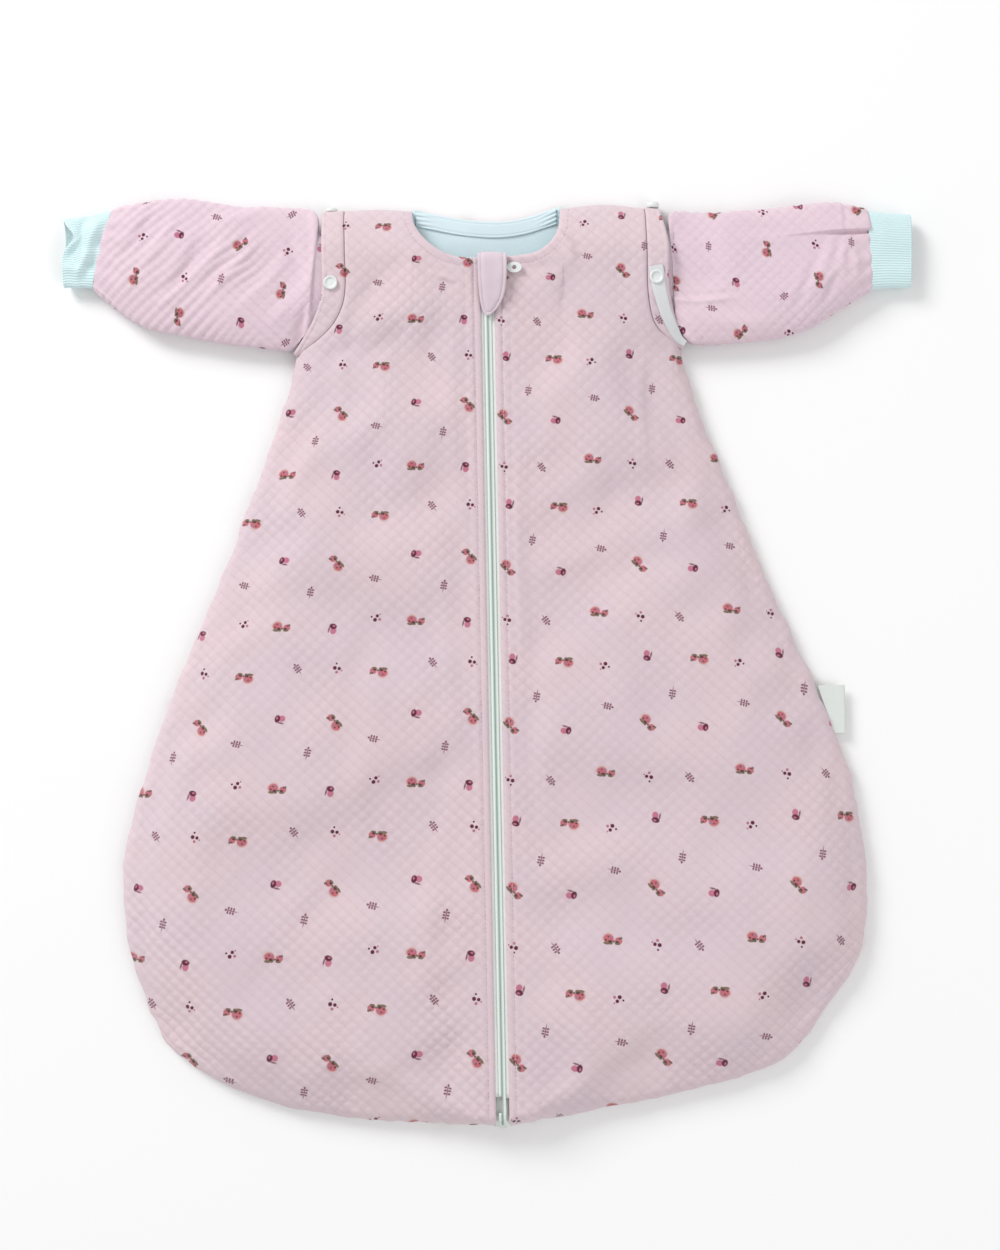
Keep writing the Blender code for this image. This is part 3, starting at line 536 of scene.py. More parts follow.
def printed(s, colour, cells):
    """Small berries, buds, seeds and sprigs scattered over the cloth."""
    coral, dusk, maroon = (0.52, 0.135, 0.165), (0.44, 0.17, 0.22), (0.115, 0.018, 0.045)
    olive, bark, rose = (0.20, 0.145, 0.10), (0.095, 0.05, 0.055), (0.52, 0.17, 0.25)
    dusty, cream = (0.24, 0.11, 0.15), (0.62, 0.45, 0.42)

    def paint(base, tone, *shapes):
        mask = shapes[0]
        for shape in shapes[1:]:
            mask = s.math("MAXIMUM", mask, shape)
        return s.mix(mask, base, tone)

    def blobs(place, *shapes):
        return [blob(s, place, *shape) for shape in shapes]

    # Two berries on a leafy twig.
    place = motif_place(s, cells, [(0.0, 0.0, -6), (0.724, 0.308, 172), (0.40, 0.607, 128)])
    halo = blobs(place, (-3.0, 3.2, 2.6, 1.3, 0.6), (-6.2, 0.6, 1.2, 1.8, 0.6))
    berries = blobs(place, (-3.0, 0.5, 3.5, 3.0), (3.9, -0.2, 2.5, 2.3))
    shade = blobs(place, (-1.9, 1.7, 1.7, 1.1, 0.4), (4.6, 0.4, 1.1, 1.0, 0.4))
    leaves = blobs(place, (-3.9, -2.5, 2.4, 1.0), (-1.2, -2.2, 1.3, 1.1), (0.7, -1.0, 0.9, 0.8),
                   (3.3, -2.2, 1.9, 0.95), (5.4, 1.6, 0.9, 0.9))
    seeds = blobs(place, (-1.8, -1.3, 1.4, 0.9), (2.9, -1.2, 1.2, 0.8), (-4.8, -0.6, 0.8, 0.6),
                  (-3.2, 1.7, 0.6, 0.5), (4.3, 1.2, 0.6, 0.5))
    for tone, shapes in ((cream, halo), (coral, berries), (dusk, shade), (olive, leaves), (bark, seeds)):
        colour = paint(colour, tone, *shapes)

    # A bud on its stalk.
    place = motif_place(s, cells, [(0.0, 0.575, 75), (0.381, 0.024, -15)], 1.3)
    for tone, shape in ((rose, (0.6, -1.2, 1.7, 1.9)), (maroon, (-0.1, 1.2, 2.1, 1.5)),
                        (dusty, (-1.9, -1.1, 0.5, 1.7, 0.5)), (rose, (0.3, 1.5, 0.8, 0.5, 0.5))):
        colour = paint(colour, tone, *blobs(place, shape))

    # A few loose dots.
    place = motif_place(s, cells, [(0.70, -0.027, 0), (0.412, 0.274, -70)], 1.2)
    dots = blobs(place, (0.9, 1.5, 1.0, 1.0), (-0.5, -0.8, 1.15, 1.15), (-2.5, 1.1, 0.6, 0.6))
    colour = paint(colour, maroon, *dots)
    colour = paint(colour, dusk, *blobs(place, (2.3, -0.7, 0.85, 0.85), (2.6, 2.4, 0.5, 0.5)))

    # A sprig.
    place = motif_place(s, cells, [(0.693, 0.718, 75), (0.21, 0.788, -12), (0.125, 0.267, 35)], 1.12)
    stem = blobs(place, (0.0, -0.4, 0.34, 3.9, 0.4), (0.0, 3.2, 0.7, 0.8, 0.3))
    leaves = blobs(place, *((way * 1.25, height, 0.95, 0.62, 0.3)
                            for height in (-1.6, 0.1, 1.8) for way in (-1, 1)))
    return paint(colour, dusty, *stem, *leaves)


def quilt_lines(s, flat):
    """0 on the stitched lines of the diamond quilting and 1 on the puffs."""
    x, y, _ = s.split(flat)
    p, q = s.math("MULTIPLY", x, 1 / QUILT[0]), s.math("MULTIPLY", y, 1 / QUILT[1])
    parts = []
    for way in ("ADD", "SUBTRACT"):
        wave = s.math("SINE", s.math("MULTIPLY", s.math(way, p, q), math.pi))
        parts.append(s.math("POWER", s.math("ABSOLUTE", wave), 0.6 if way == "ADD" else 0.3))
    return s.math("MULTIPLY", *parts)


def quilted_jersey(name, tone):
    """Matelasse jersey: fine knit over small diamond puffs, a printed pattern and painted shade on the
    stitched lines.
    """
    s = Shader(name, roughness=0.92, sheen=0.25, specular=0.2)
    flat = s.attribute("flat")
    lines = quilt_lines(s, flat)
    drift = s.noise(flat, 14.0, 3.0)
    fine = s.noise(flat, 1500.0, 2.0)
    darker = tuple(c * f for c, f in zip(tone, (0.90, 0.87, 0.88)))
    cooler = tuple(c * f for c, f in zip(tone, (0.96, 0.97, 1.0)))
    colour = s.mix(s.ramp(drift, 0.35, 0.65), tone, cooler)
    # Painted shade: the colour darkens along the stitched quilting lines, in the valleys between the puffs.
    colour = s.mix(s.ramp(lines, 0.05, 0.6, 0.6, 0.0), colour, darker)
    colour = s.mix(s.ramp(fine, 0.3, 0.75, 0.0, 0.16), colour, darker)
    colour = printed(s, colour, s.attribute("cells"))
    fuzz = s.bump(fine, 0.10 * MM, 0.35)
    stitches = s.bump(knit(s, flat), 0.09 * MM, 0.55, fuzz)
    return s.finish(colour, stitches, s.ramp(fine, 0.2, 0.8, 0.86, 0.97))


def plain_jersey(name, tone):
    """Unprinted jersey: small knitted loops with a little fuzz."""
    s = Shader(name, roughness=0.9, sheen=0.2, specular=0.2)
    flat = s.attribute("flat")
    drift = s.noise(flat, 22.0, 3.0)
    fine = s.noise(flat, 1300.0, 2.0)
    darker = tuple(c * 0.90 for c in tone)
    colour = s.mix(s.ramp(drift, 0.3, 0.7, 0.0, 0.55), tone, darker)
    colour = s.mix(s.ramp(fine, 0.3, 0.75, 0.0, 0.25), colour, darker)
    loops = knit(s, flat)
    return s.finish(colour, s.bump(loops, 0.10 * MM, 0.6), s.ramp(loops, -1.0, 1.0, 0.95, 0.84))


def rib_knit(name, tone):
    """Close vertical ribs: light on their crests and shaded in the grooves."""
    s = Shader(name, roughness=0.9, sheen=0.25, specular=0.2)
    flat = s.attribute("flat")
    _, around, _ = s.split(flat)
    crest = s.math("COSINE", s.math("MULTIPLY", around, 2 * math.pi / (1.9 * MM)))
    fine = s.noise(flat, 1400.0, 2.0)
    darker = tuple(c * f for c, f in zip(tone, (0.80, 0.86, 0.86)))
    colour = s.mix(s.ramp(crest, -1.0, 0.3, 0.5, 0.0), tone, darker)
    colour = s.mix(s.ramp(fine, 0.3, 0.75, 0.0, 0.2), colour, darker)
    loops = s.bump(knit(s, flat, 0.8 * MM, 0.8 * MM), 0.08 * MM, 0.5)
    return s.finish(colour, s.bump(crest, 0.22 * MM, 0.6, loops), s.ramp(crest, -1.0, 1.0, 0.96, 0.85))


def woven_tape(name, tone, thread=0.55 * MM):
    """Close twill of the zip tape, the stud tapes and the label."""
    s = Shader(name, roughness=0.8, sheen=0.1, specular=0.3)
    place = object_place(s)
    x, y, _ = s.split(place)
    p = s.math("MULTIPLY", s.math("ADD", x, y), 2 * math.pi / thread)
    q = s.math("MULTIPLY", y, 2 * math.pi / (thread * 0.8))
    weave = s.math("MULTIPLY", s.math("SINE", p), s.math("SINE", q))
    darker = tuple(c * 0.86 for c in tone)
    colour = s.mix(s.ramp(weave, -0.8, 0.8, 0.5, 0.0), tone, darker)
    colour = s.mix(s.ramp(s.noise(place, 60.0), 0.35, 0.7, 0.0, 0.4), colour, darker)
    return s.finish(colour, s.bump(weave, 0.06 * MM, 0.6), s.ramp(weave, -1.0, 1.0, 0.85, 0.7))


def moulded(name, tone, rough=0.34):
    """Moulded resin with faint flow marks and a slightly uneven polish."""
    s = Shader(name, roughness=rough, specular=0.5)
    place = object_place(s)
    drift = s.noise(place, 180.0, 4.0)
    colour = s.mix(s.ramp(drift, 0.3, 0.7), tone, tuple(c * 0.93 for c in tone))
    grain = s.bump(s.noise(place, 900.0), 0.03 * MM, 0.3)
    return s.finish(colour, grain, s.ramp(drift, 0.2, 0.8, rough - 0.06, rough + 0.1))


PINK = quilted_jersey("pink_quilted_jersey", (0.705, 0.565, 0.600))
SLEEVE_PINK = quilted_jersey("pink_sleeve_jersey", (0.765, 0.600, 0.665))
MINT = plain_jersey("mint_lining_jersey", (0.725, 0.865, 0.905))
GUARD_PINK = plain_jersey("plain_pink_jersey", (0.70, 0.585, 0.65))
RIB = rib_knit("mint_rib_knit", (0.70, 0.88, 0.90))
TAPE = woven_tape("zip_tape_weave", (0.80, 0.835, 0.80))
STUD_TAPE = woven_tape("stud_tape_weave", (0.74, 0.755, 0.77))
LABEL_TAPE = woven_tape("label_satin", (0.78, 0.82, 0.79), 0.4 * MM)
TEETH = moulded("zip_coil_nylon", (0.60, 0.70, 0.65), 0.42)
RESIN = moulded("white_resin", (0.78, 0.81, 0.80))
THREAD_PINK = woven_tape("pink_thread", (0.66, 0.50, 0.56), 0.3 * MM)


# ---------------------------------------------------------------- the bag's front and back


def front_top(xy, left):
    """Height of the front's outer face before its cloth is rolled in at the edges."""
    if left:
        side, hem, shoulder, band = SIDE_LEFT, HEM_LEFT, SHOULDER_LEFT, BAND_LEFT
    else:
        side, hem, shoulder, band = SIDE_RIGHT, HEM_RIGHT, SHOULDER_RIGHT, BAND_RIGHT
    away = np.clip((np.abs(xy[..., 0]) - 0.02) / 0.10, 0, 1)
    hem_reach = ZIP_HEM_REACH + (HEM_REACH - ZIP_HEM_REACH) * away
    fill = rise(distance_to(xy, spline(side, 60)), SIDE_REACH)
    fill = fill * rise(distance_to(xy, list(spline(hem, 40)) + [(0.0, hem[-1][1])]), hem_reach)
    fill = fill * rise(distance_to(xy, list(spline(shoulder, 12)) + [band[0]]), SHOULDER_REACH)
    return SEAM_TOP + CAVITY * fill


def uneven(xy, edge_distance):
    """Small sideways shifts that make a sewn outline slightly scalloped."""
    x, y = xy[..., 0], xy[..., 1]
    near = ridge(edge_distance, 0, 26 * MM)
    dx = 0.9 * MM * waves(x, y, 30 * MM, 41) + 0.35 * MM * waves(x, y, 11 * MM, 43)
    dy = 0.9 * MM * waves(x, y, 30 * MM, 42) + 0.35 * MM * waves(x, y, 11 * MM, 44)
    return xy + np.stack([dx, dy], axis=-1) * near[..., None]


def spread(field, rows, columns):
    """A coarse grid of values enlarged smoothly to this many rows and columns."""
    for axis, count in ((0, rows), (1, columns)):
        moved = np.moveaxis(field, axis, 0)
        n = len(moved)
        at = np.linspace(0, n - 1, count)
        i = np.minimum(at.astype(int), n - 2)
        t = (at - i).reshape((-1,) + (1,) * (moved.ndim - 1))
        weights = ((1 - t) ** 3, 3 * t**3 - 6 * t**2 + 4, -3 * t**3 + 3 * t**2 + 3 * t + 1, t**3)
        total = sum(w / 6 * moved[np.clip(i + k - 1, 0, n - 1)] for k, w in enumerate(weights))
        field = np.moveaxis(total, 0, axis)
    return field


SIMULATED_FRAMES = 24


def slack(name, grid, held, growth, most, wrap=False):
    """How far cloth moves that is a little longer than its place, simulated briefly on a coarse grid.

    held is 1 where the cloth is sewn down, and most is the furthest that a point may move.
    """
    rows, columns = grid.shape[0] - 1, grid.shape[1] - 1
    width = columns if wrap else columns + 1
    start = grid[:, :width]
    x, y = start[..., 0], start[..., 1]
    start = start + np.stack([0 * x, 0 * x, 0.4 * MM * waves(x, y, 45 * MM, 77)], axis=-1)
    index = np.arange((rows + 1) * width).reshape(rows + 1, width)
    if wrap:
        index = np.hstack([index, index[:, :1]])
    faces = np.stack([index[:-1, :-1], index[1:, :-1], index[1:, 1:], index[:-1, 1:]], axis=-1).reshape(-1, 4)
    obj = object_from(name + "_sim", start, faces.tolist(), [])
    group = obj.vertex_groups.new(name="held")
    for k, share in enumerate(held[:, :width].ravel()):
        if share > 0:
            group.add([k], float(share), "REPLACE")
    cloth = obj.modifiers.new("slack", "CLOTH")
    s = cloth.settings
    s.quality = 5
    s.mass = 0.2
    s.tension_stiffness = s.compression_stiffness = 18
    s.shear_stiffness = 6
    s.bending_stiffness = 1.2
    s.vertex_group_mass = "held"
    s.pin_stiffness = 2
    s.shrink_min = -growth
    s.effector_weights.gravity = 0.0
    cloth.collision_settings.use_collision = False
    cloth.point_cache.frame_start, cloth.point_cache.frame_end = 1, SIMULATED_FRAMES
    for number in range(1, SIMULATED_FRAMES + 1):
        bpy.context.scene.frame_set(number)
    made = obj.evaluated_get(bpy.context.evaluated_depsgraph_get()).to_mesh()
    after = np.empty(len(made.vertices) * 3, np.float32)
    made.vertices.foreach_get("co", after)
    bpy.context.scene.frame_set(1)
    mesh = obj.data
    bpy.data.objects.remove(obj)
    bpy.data.meshes.remove(mesh)
    moved = after.reshape(rows + 1, width, 3).astype(float) - grid[:, :width]
    if wrap:
        moved = np.concatenate([moved, moved[:, :1]], axis=1)
    moved[..., 2] -= moved[..., 2].mean()
    reach = np.linalg.norm(moved, axis=-1, keepdims=True)
    return moved * np.minimum(1, most / np.maximum(reach, 1e-9)) * (1 - held[..., None])


def chain(*curves):
    """One curve from several that meet end to end."""
    return np.vstack([curves[0]] + [c[1:] for c in curves[1:]])


# Folds in the cloth: x and y of both ends, width and height, all in millimetres.
BODY_FOLDS_LEFT = [
    (-38, 315, -22, 309, 2.0, -0.9), (-45, 321, -30, 314, 2.2, 0.7),
    (-66, 347, -21, 309, 5.5, 1.0), (-108, 300, -109, 236, 5, 0.8), (-60, 331, -100, 296, 7, -0.7),
    (-24, 300, -22, 130, 7, 0.9), (-33, 120, -26, -60, 8, 0.9), (-28, -60, -60, -240, 10, 1.0),
    (-120, 238, -175, 120, 9, -0.8), (-200, 60, -235, -60, 10, 0.9), (-120, -120, -210, -230, 11, 0.8),
    (-90, 60, -120, -90, 12, -0.8), (-60, -270, -130, -290, 8, 0.7),
]
BODY_FOLDS_RIGHT = [
    (60, 357, 77, 342, 2.2, 0.9), (56, 350, 73, 335, 2.0, -0.8), (68, 361, 88, 345, 2.2, -0.8),
    (57, 342, 68, 331, 2.0, 0.7),
    (66, 332, 50, 357, 4, 1.3), (24, 324, 52, 322, 4.5, -0.9), (117, 259, 116, 168, 5, 0.8),
    (74, 325, 62, 352, 5, -0.9), (25, 200, 24, 20, 7, 0.8), (34, 60, 30, -120, 8, -0.8),
    (120, 240, 172, 125, 9, -0.7), (196, 70, 235, -40, 10, 0.8), (130, -110, 215, -215, 11, 0.8),
    (86, 90, 118, -60, 12, 0.8), (60, -200, 45, -290, 9, -0.7), (40, 300, 90, 262, 7, 0.7),
]


def front(side):
    """One half of the front: padded, quilted outside, lining inside, rolled in at every edge."""
    left = side == "left"
    sign = -1 if left else 1
    if left:
        neck, shoulder, arm, flank, hem = NECK_LEFT, SHOULDER_LEFT, ARMHOLE_LEFT, SIDE_LEFT, HEM_LEFT
        lattice, folds = PRINT_LEFT, BODY_FOLDS_LEFT
    else:
        neck, shoulder, arm, flank, hem = NECK_RIGHT, SHOULDER_RIGHT, ARMHOLE_RIGHT, SIDE_RIGHT, HEM_RIGHT
        lattice, folds = PRINT_RIGHT, BODY_FOLDS_RIGHT
    edges = {
        "neck": spline(neck, 60),
        "shoulder": spline(shoulder, 20),
        "arm": spline(arm, 50),
        "side": spline(flank, 120),
        "hem": spline(hem, 100),
    }
    rows, columns = 440, 168
    zip_line = np.array([neck[0], hem[-1]])
    top = chain(edges["neck"], edges["shoulder"])
    outer_line = chain(edges["arm"], edges["side"])
    v, u = closer_at_ends(rows, 0.3), closer_at_ends(columns, 0.45)
    plan = patch(top, edges["hem"][::-1], zip_line, outer_line, v, u)
    away = {name: distance_to(plan, line) for name, line in edges.items()}
    away["zip"] = np.abs(plan[..., 0]) - PANEL_EDGE
    sewn = np.minimum(away["side"], away["hem"])
    x, y = plan[..., 0], plan[..., 1]

    top_height = front_top(plan, left)
    free = smooth(away["zip"], 8 * MM, 45 * MM) * smooth(sewn, 2 * MM, 35 * MM)
    free *= smooth(away["neck"], 4 * MM, 30 * MM) * smooth(away["arm"], 4 * MM, 25 * MM)
    coarse = lifted(plan, top_height)[::8, ::6]
    held = np.zeros(coarse.shape[:2])
    held[0], held[-1], held[:, 0], held[:, -1] = 1, 1, 1, 1
    held[:, 1] = 0.9
    loose = spread(slack(f"front_{side}", coarse, held, 0.012, 3.2 * MM), rows + 1, columns + 1)
    shape = 1.3 * MM * waves(x, y, 130 * MM, 5 + left) * free + 0.5 * MM * waves(x, y, 55 * MM,
                                                                                 8 + left) * free
    shape += creases(x, y, folds) * smooth(away["zip"], 9 * MM, 14 * MM)
    shape += loose[..., 2] * free
    sewn_wrinkles = np.sin(waves(x, y, 60 * MM, 23) * 3 + (x * 0.5 + y) / (3.3 * MM))
    shape += 0.35 * MM * sewn_wrinkles * ridge(sewn, 0, 11 * MM) * smooth(sewn, 0.5 * MM, 4 * MM)

    calm = smooth(away["zip"], 4.5 * MM, 8 * MM) * 0.75 + 0.25
    calm = calm * smooth(away["zip"], 0.5 * MM, 3 * MM) * smooth(away["neck"], 1.5 * MM, 7 * MM)
    calm = calm * smooth(away["arm"], 0.5 * MM, 5 * MM) * smooth(sewn, 0.5 * MM, 5 * MM)
    calm = calm * smooth(away["shoulder"], 0.5 * MM, 5 * MM)
    fuller = 1 + (0.35 if left else 0.15) * smooth(-y, 0.02, 0.24)
    quilt = PUFF * (quilting(x, y, 1 + left) - 0.35) * calm * fuller

    line = np.abs(x) - PLACKET_LINE
    sewing = 0.75 * MM * ridge(line, 0, 1.1 * MM) + 0.3 * MM * ridge(line, 6 * MM, 1.5 * MM)
    sewing += 0.5 * MM * ridge(away["neck"], 6.2 * MM, 1.2 * MM) * smooth(-line, -60 * MM, -5 * MM)
    base = SEAM_LEVEL + 0.45 * MM
    turned = np.minimum(roll(sewn, EDGE_ROLL), roll(away["shoulder"], 7 * MM))
    outer = base + (top_height + shape + quilt - sewing - base) * turned
    outer -= 1.7 * MM * (1 - roll(away["arm"], 3 * MM))
    outer -= 1.7 * MM * (1 - roll(away["neck"], 3 * MM)) + 1.6 * MM * (1 - roll(away["zip"], 2.6 * MM))
    outer = np.maximum(outer, base)

    inner = top_height + 0.8 * shape - FRONT_THICK
    inner += 1.3 * MM * (1 - roll(np.minimum(away["neck"], away["zip"]), 3 * MM))
    inner = np.maximum(np.minimum(inner, outer - 0.3 * MM), SEAM_LEVEL + 0.15 * MM)
    outline = uneven(plan, sewn) + loose[..., :2] * 0.5 * free[..., None]
    fine = np.concatenate([outline, outer[..., None]], axis=-1)
    under = np.concatenate([outline, inner[..., None]], axis=-1)[::2, ::2]
    cells = np.stack(print_cells(x, y, lattice, not left), axis=-1)
    obj = slab(f"front_{side}_cloth", fine, under, [PINK, MINT], plan, cells)
    heights = (plan, outer)
    return obj, heights


def back():
    """The back: quilted and flat on its outer face, lining on its inner one."""
    top = chain(
        spline(SHOULDER_LEFT, 20)[::-1], spline(BACK_NECK, 50), spline(SHOULDER_RIGHT, 20)
    )
    left_line = chain(spline(ARMHOLE_LEFT, 50), spline(SIDE_LEFT, 120))
    right_line = chain(spline(ARMHOLE_RIGHT, 50), spline(SIDE_RIGHT, 120))
    bottom = chain(spline(HEM_LEFT, 80), np.array([[0.0, -0.3291], [0.0049, -0.3290]]),
                   spline(HEM_RIGHT, 80)[::-1])
    rows, columns = 300, 260
    v, u = closer_at_ends(rows, 0.35), closer_at_ends(columns, 0.45)
    plan = patch(top, bottom, left_line, right_line, v, u)
    x, y = plan[..., 0], plan[..., 1]
    sewn = distance_to(plan, chain(spline(SIDE_LEFT, 120), bottom, spline(SIDE_RIGHT, 120)[::-1]))
    arms = np.minimum(distance_to(plan, spline(ARMHOLE_LEFT, 50)),
                      distance_to(plan, spline(ARMHOLE_RIGHT, 50)))
    neck = distance_to(plan, spline(BACK_NECK, 50))
    shoulders = np.minimum(distance_to(plan, spline(SHOULDER_LEFT, 20)),
                           distance_to(plan, spline(SHOULDER_RIGHT, 20)))
    rim = np.minimum(np.minimum(sewn, arms), np.minimum(neck, shoulders))
    turned = np.minimum(roll(sewn, 7 * MM), roll(shoulders, 6 * MM))
    low = 5.5 * MM * (1 - turned)
    low += 1.6 * MM * (1 - roll(arms, 4 * MM)) + 1.4 * MM * (1 - roll(neck, 3 * MM))
    low += PUFF * (1 - quilting(x, y, 3)) * smooth(rim, 0.5 * MM, 6 * MM) * turned
    low += 0.35 * MM * (1 + waves(x, y, 90 * MM, 31)) * turned
    sag = 0.35 * MM * (1 + waves(x, y, 70 * MM, 33)) * smooth(rim, 2 * MM, 20 * MM)
    high = BACK_TOP - 0.9 * MM * (1 - roll(neck, 3 * MM)) - sag
    outline = uneven(plan, sewn)
    fine = np.concatenate([outline, low[..., None]], axis=-1)
    upper = np.concatenate([outline, high[..., None]], axis=-1)[::2, ::2]
    cells = np.stack(print_cells(-x, y, PRINT_LEFT, False), axis=-1)
    return slab("back_cloth", fine, upper, [PINK, MINT], plan, cells)


def armhole_bands(side):
    """The turned bands round an armhole: one on the front and one on the back."""
    left = side == "left"
    arm, band = (ARMHOLE_LEFT, BAND_LEFT) if left else (ARMHOLE_RIGHT, BAND_RIGHT)
    sign = -1 if left else 1
    seam, edge = spline(arm, 60) + np.array([sign * 0.3 * MM, 0]), spline(band, 60)
    rows, columns = 150, 20
    v, u = np.linspace(0, 1, rows + 1), closer_at_ends(columns, 0.6)
    plan = patch([seam[0], edge[0]], [seam[-1], edge[-1]], seam, edge, v, u)
    x, y = plan[..., 0], plan[..., 1]
    from_seam, from_edge = distance_to(plan, seam), distance_to(plan, edge)
    from_ends = np.minimum(
        distance_to(plan, [seam[0], edge[0]]), distance_to(plan, [seam[-1], edge[-1]])
    )
    height = front_top(plan, left) + 0.5 * MM * waves(x, y, 30 * MM, 61 + left)
    quilt = 0.8 * PUFF * (quilting(x, y, 1 + left) - 0.4)
    quilt = quilt * smooth(np.minimum(from_seam, from_edge), 0.5 * MM, 4 * MM)
    sewing = 0.45 * MM * ridge(from_edge, 3.6 * MM, 0.9 * MM)
    top = height + quilt - sewing
    top -= 1.6 * MM * (1 - roll(from_seam, 3 * MM)) + 2.0 * MM * (1 - roll(from_edge, 3 * MM))
    top -= 1.6 * MM * (1 - roll(from_ends, 3 * MM))
    low = np.minimum(height - FRONT_THICK + 1.6 * MM * (1 - roll(from_edge, 3 * MM)), top - 0.4 * MM)
    cells = np.stack(print_cells(x, y, PRINT_LEFT if left else PRINT_RIGHT, not left), axis=-1)
    grid = lifted(plan, top)
    under = lifted(plan, low)[::2, ::2]
    front_band = slab(f"{side}_armhole_band_front_cloth", grid, under, [PINK, MINT], plan, cells)

    low = 2.1 * MM + 1.7 * MM * (1 - roll(np.minimum(from_edge, from_ends), 3 * MM))
    low += 1.4 * MM * (1 - roll(from_seam, 3 * MM))
    low += 0.5 * PUFF * (1 - quilting(x, y, 3)) * smooth(np.minimum(from_seam, from_edge), 0.5 * MM, 4 * MM)
    high = BACK_TOP - 0.9 * MM * (1 - roll(from_edge, 3 * MM))
    grid = lifted(plan, low)
    upper = lifted(plan, high + 0 * x)[::2, ::2]
    back_band = slab(f"{side}_armhole_band_back_cloth", grid, upper, [PINK, MINT], plan, cells)
    return front_band, back_band


def armhole_tape():
    """The white tape stitched along the lower half of the right armhole band, near its free edge."""
    centre = spline([(0.1268, 0.3215), (0.1292, 0.3050), (0.1345, 0.2860), (0.1435, 0.2690),
                     (0.1492, 0.2640)], 90)
    tangent = np.gradient(centre, axis=0)
    tangent /= np.linalg.norm(tangent, axis=1, keepdims=True)
    across = np.stack([-tangent[:, 1], tangent[:, 0]], axis=1)
    u = np.linspace(-1, 1, 13)
    wide = np.interp(np.linspace(0, 1, 91), [0, 0.1, 0.8, 1], [5.4, 5.6, 3.9, 2.2]) * MM
    plan = centre[:, None] + across[:, None] * (wide[:, None] * u[None, :])[..., None]
    height = front_top(plan, False) + 1.05 * MM - 0.35 * MM * (1 - roll(1 - np.abs(u), 0.3))[None, :]
    grid = lifted(plan, height)
    under = grid[::2, ::2] - np.array([0, 0, 0.9 * MM])
    return slab("right_armhole_tape", grid, under, [STUD_TAPE], plan)


# ---------------------------------------------------------------- tubes: sleeves, cuffs and stud tapes


def tube(name, outer, inner, materials, flat, cells=None):
    """A closed tube wall from an outer grid and an inner grid with half as many steps both ways.
    Column 0 is the seam, and flat and cells have one column more than the tube, to end there again."""
    rows, around = outer.shape[0] - 1, outer.shape[1]
    ir, ia = rows // 2, around // 2
    base = (rows + 1) * around
    faces, slots, corners = [], [], []
    for i in range(rows):
        for j in range(around):
            n = (j + 1) % around
            faces.append([i * around + j, (i + 1) * around + j, (i + 1) * around + n, i * around + n])
            corners.append([(i, j), (i + 1, j), (i + 1, j + 1), (i, j + 1)])
            slots.append(0)
    for i in range(ir):
        for j in range(ia):
            n = (j + 1) % ia
            quad = [base + i * ia + j, base + i * ia + n, base + (i + 1) * ia + n, base + (i + 1) * ia + j]
            faces.append(quad)
            corners.append([(2 * i, 2 * j), (2 * i, 2 * j + 2), (2 * i + 2, 2 * j + 2), (2 * i + 2, 2 * j)])
            slots.append(len(materials) - 1)
    for row, coarse_row in ((0, 0), (rows, ir)):
        for k in range(ia):
            a, b, c = 2 * k, 2 * k + 1, 2 * k + 2
            rim = [row * around + a, row * around + b, row * around + c % around]
            rim += [base + coarse_row * ia + (k + 1) % ia, base + coarse_row * ia + k]
            places = [(row, a), (row, b), (row, c), (row, c), (row, a)]
            if row == rows:
                rim, places = rim[::-1], places[::-1]
            faces.append(rim)
            corners.append(places)
            slots.append(0)
    obj = object_from(name, np.vstack([outer.reshape(-1, 3), inner.reshape(-1, 3)]), faces, materials, slots)
    for label, values in (("flat", flat), ("cells", cells)):
        if values is None:
            continue
        order = np.array([values[i, j] for face in corners for i, j in face])
        order = np.hstack([order, np.zeros((len(order), 1))])
        kept = obj.data.attributes.new(label, "FLOAT_VECTOR", "CORNER")
        kept.data.foreach_set("vector", order.astype(np.float32).ravel())
    if signed_volume(obj) < 0:
        obj.data.flip_normals()
    return obj


def signed_volume(obj):
    mesh = obj.data
    mesh.calc_loop_triangles()
    points = np.empty(len(mesh.vertices) * 3, np.float32)
    mesh.vertices.foreach_get("co", points)
    corners = np.empty(len(mesh.loop_triangles) * 3, np.int32)
    mesh.loop_triangles.foreach_get("vertices", corners)
    a, b, c = (points.reshape(-1, 3)[corners.reshape(-1, 3)[:, k]] for k in range(3))
    return float(np.einsum("ij,ij->i", a, np.cross(b, c)).sum() / 6)


def ring_places(upper, lower, floor, ceiling, turns, power=0.75):
    """Points round flattened rings, starting at the lower edge and going over the top. turns is 0 to 1."""
    angle = math.pi - 2 * math.pi * np.asarray(turns)[None, :]
    c, s = np.cos(angle), np.sin(angle)
    c, s = np.sign(c) * np.abs(c) ** power, np.sign(s) * np.abs(s) ** power
    middle, reach = (upper + lower) / 2, (upper - lower) / 2
    plan = middle[:, None] + reach[:, None] * c[..., None]
    z = ((ceiling + floor) / 2)[:, None] + ((ceiling - floor) / 2)[:, None] * s
    return lifted(plan, z)


def even_turns(count, power=0.75, flatness=0.22):
    """Shares round a flattened ring that give steps of about equal length."""
    dense = np.linspace(0, 1, 4001)
    angle = math.pi - 2 * math.pi * dense
    c, s = np.cos(angle), np.sin(angle)
    c, s = np.sign(c) * np.abs(c) ** power, flatness * np.sign(s) * np.abs(s) ** power
    reach = np.concatenate([[0], np.cumsum(np.hypot(np.diff(c), np.diff(s)))])
    return np.interp(np.linspace(0, reach[-1], count + 1), reach, dense)[:-1]


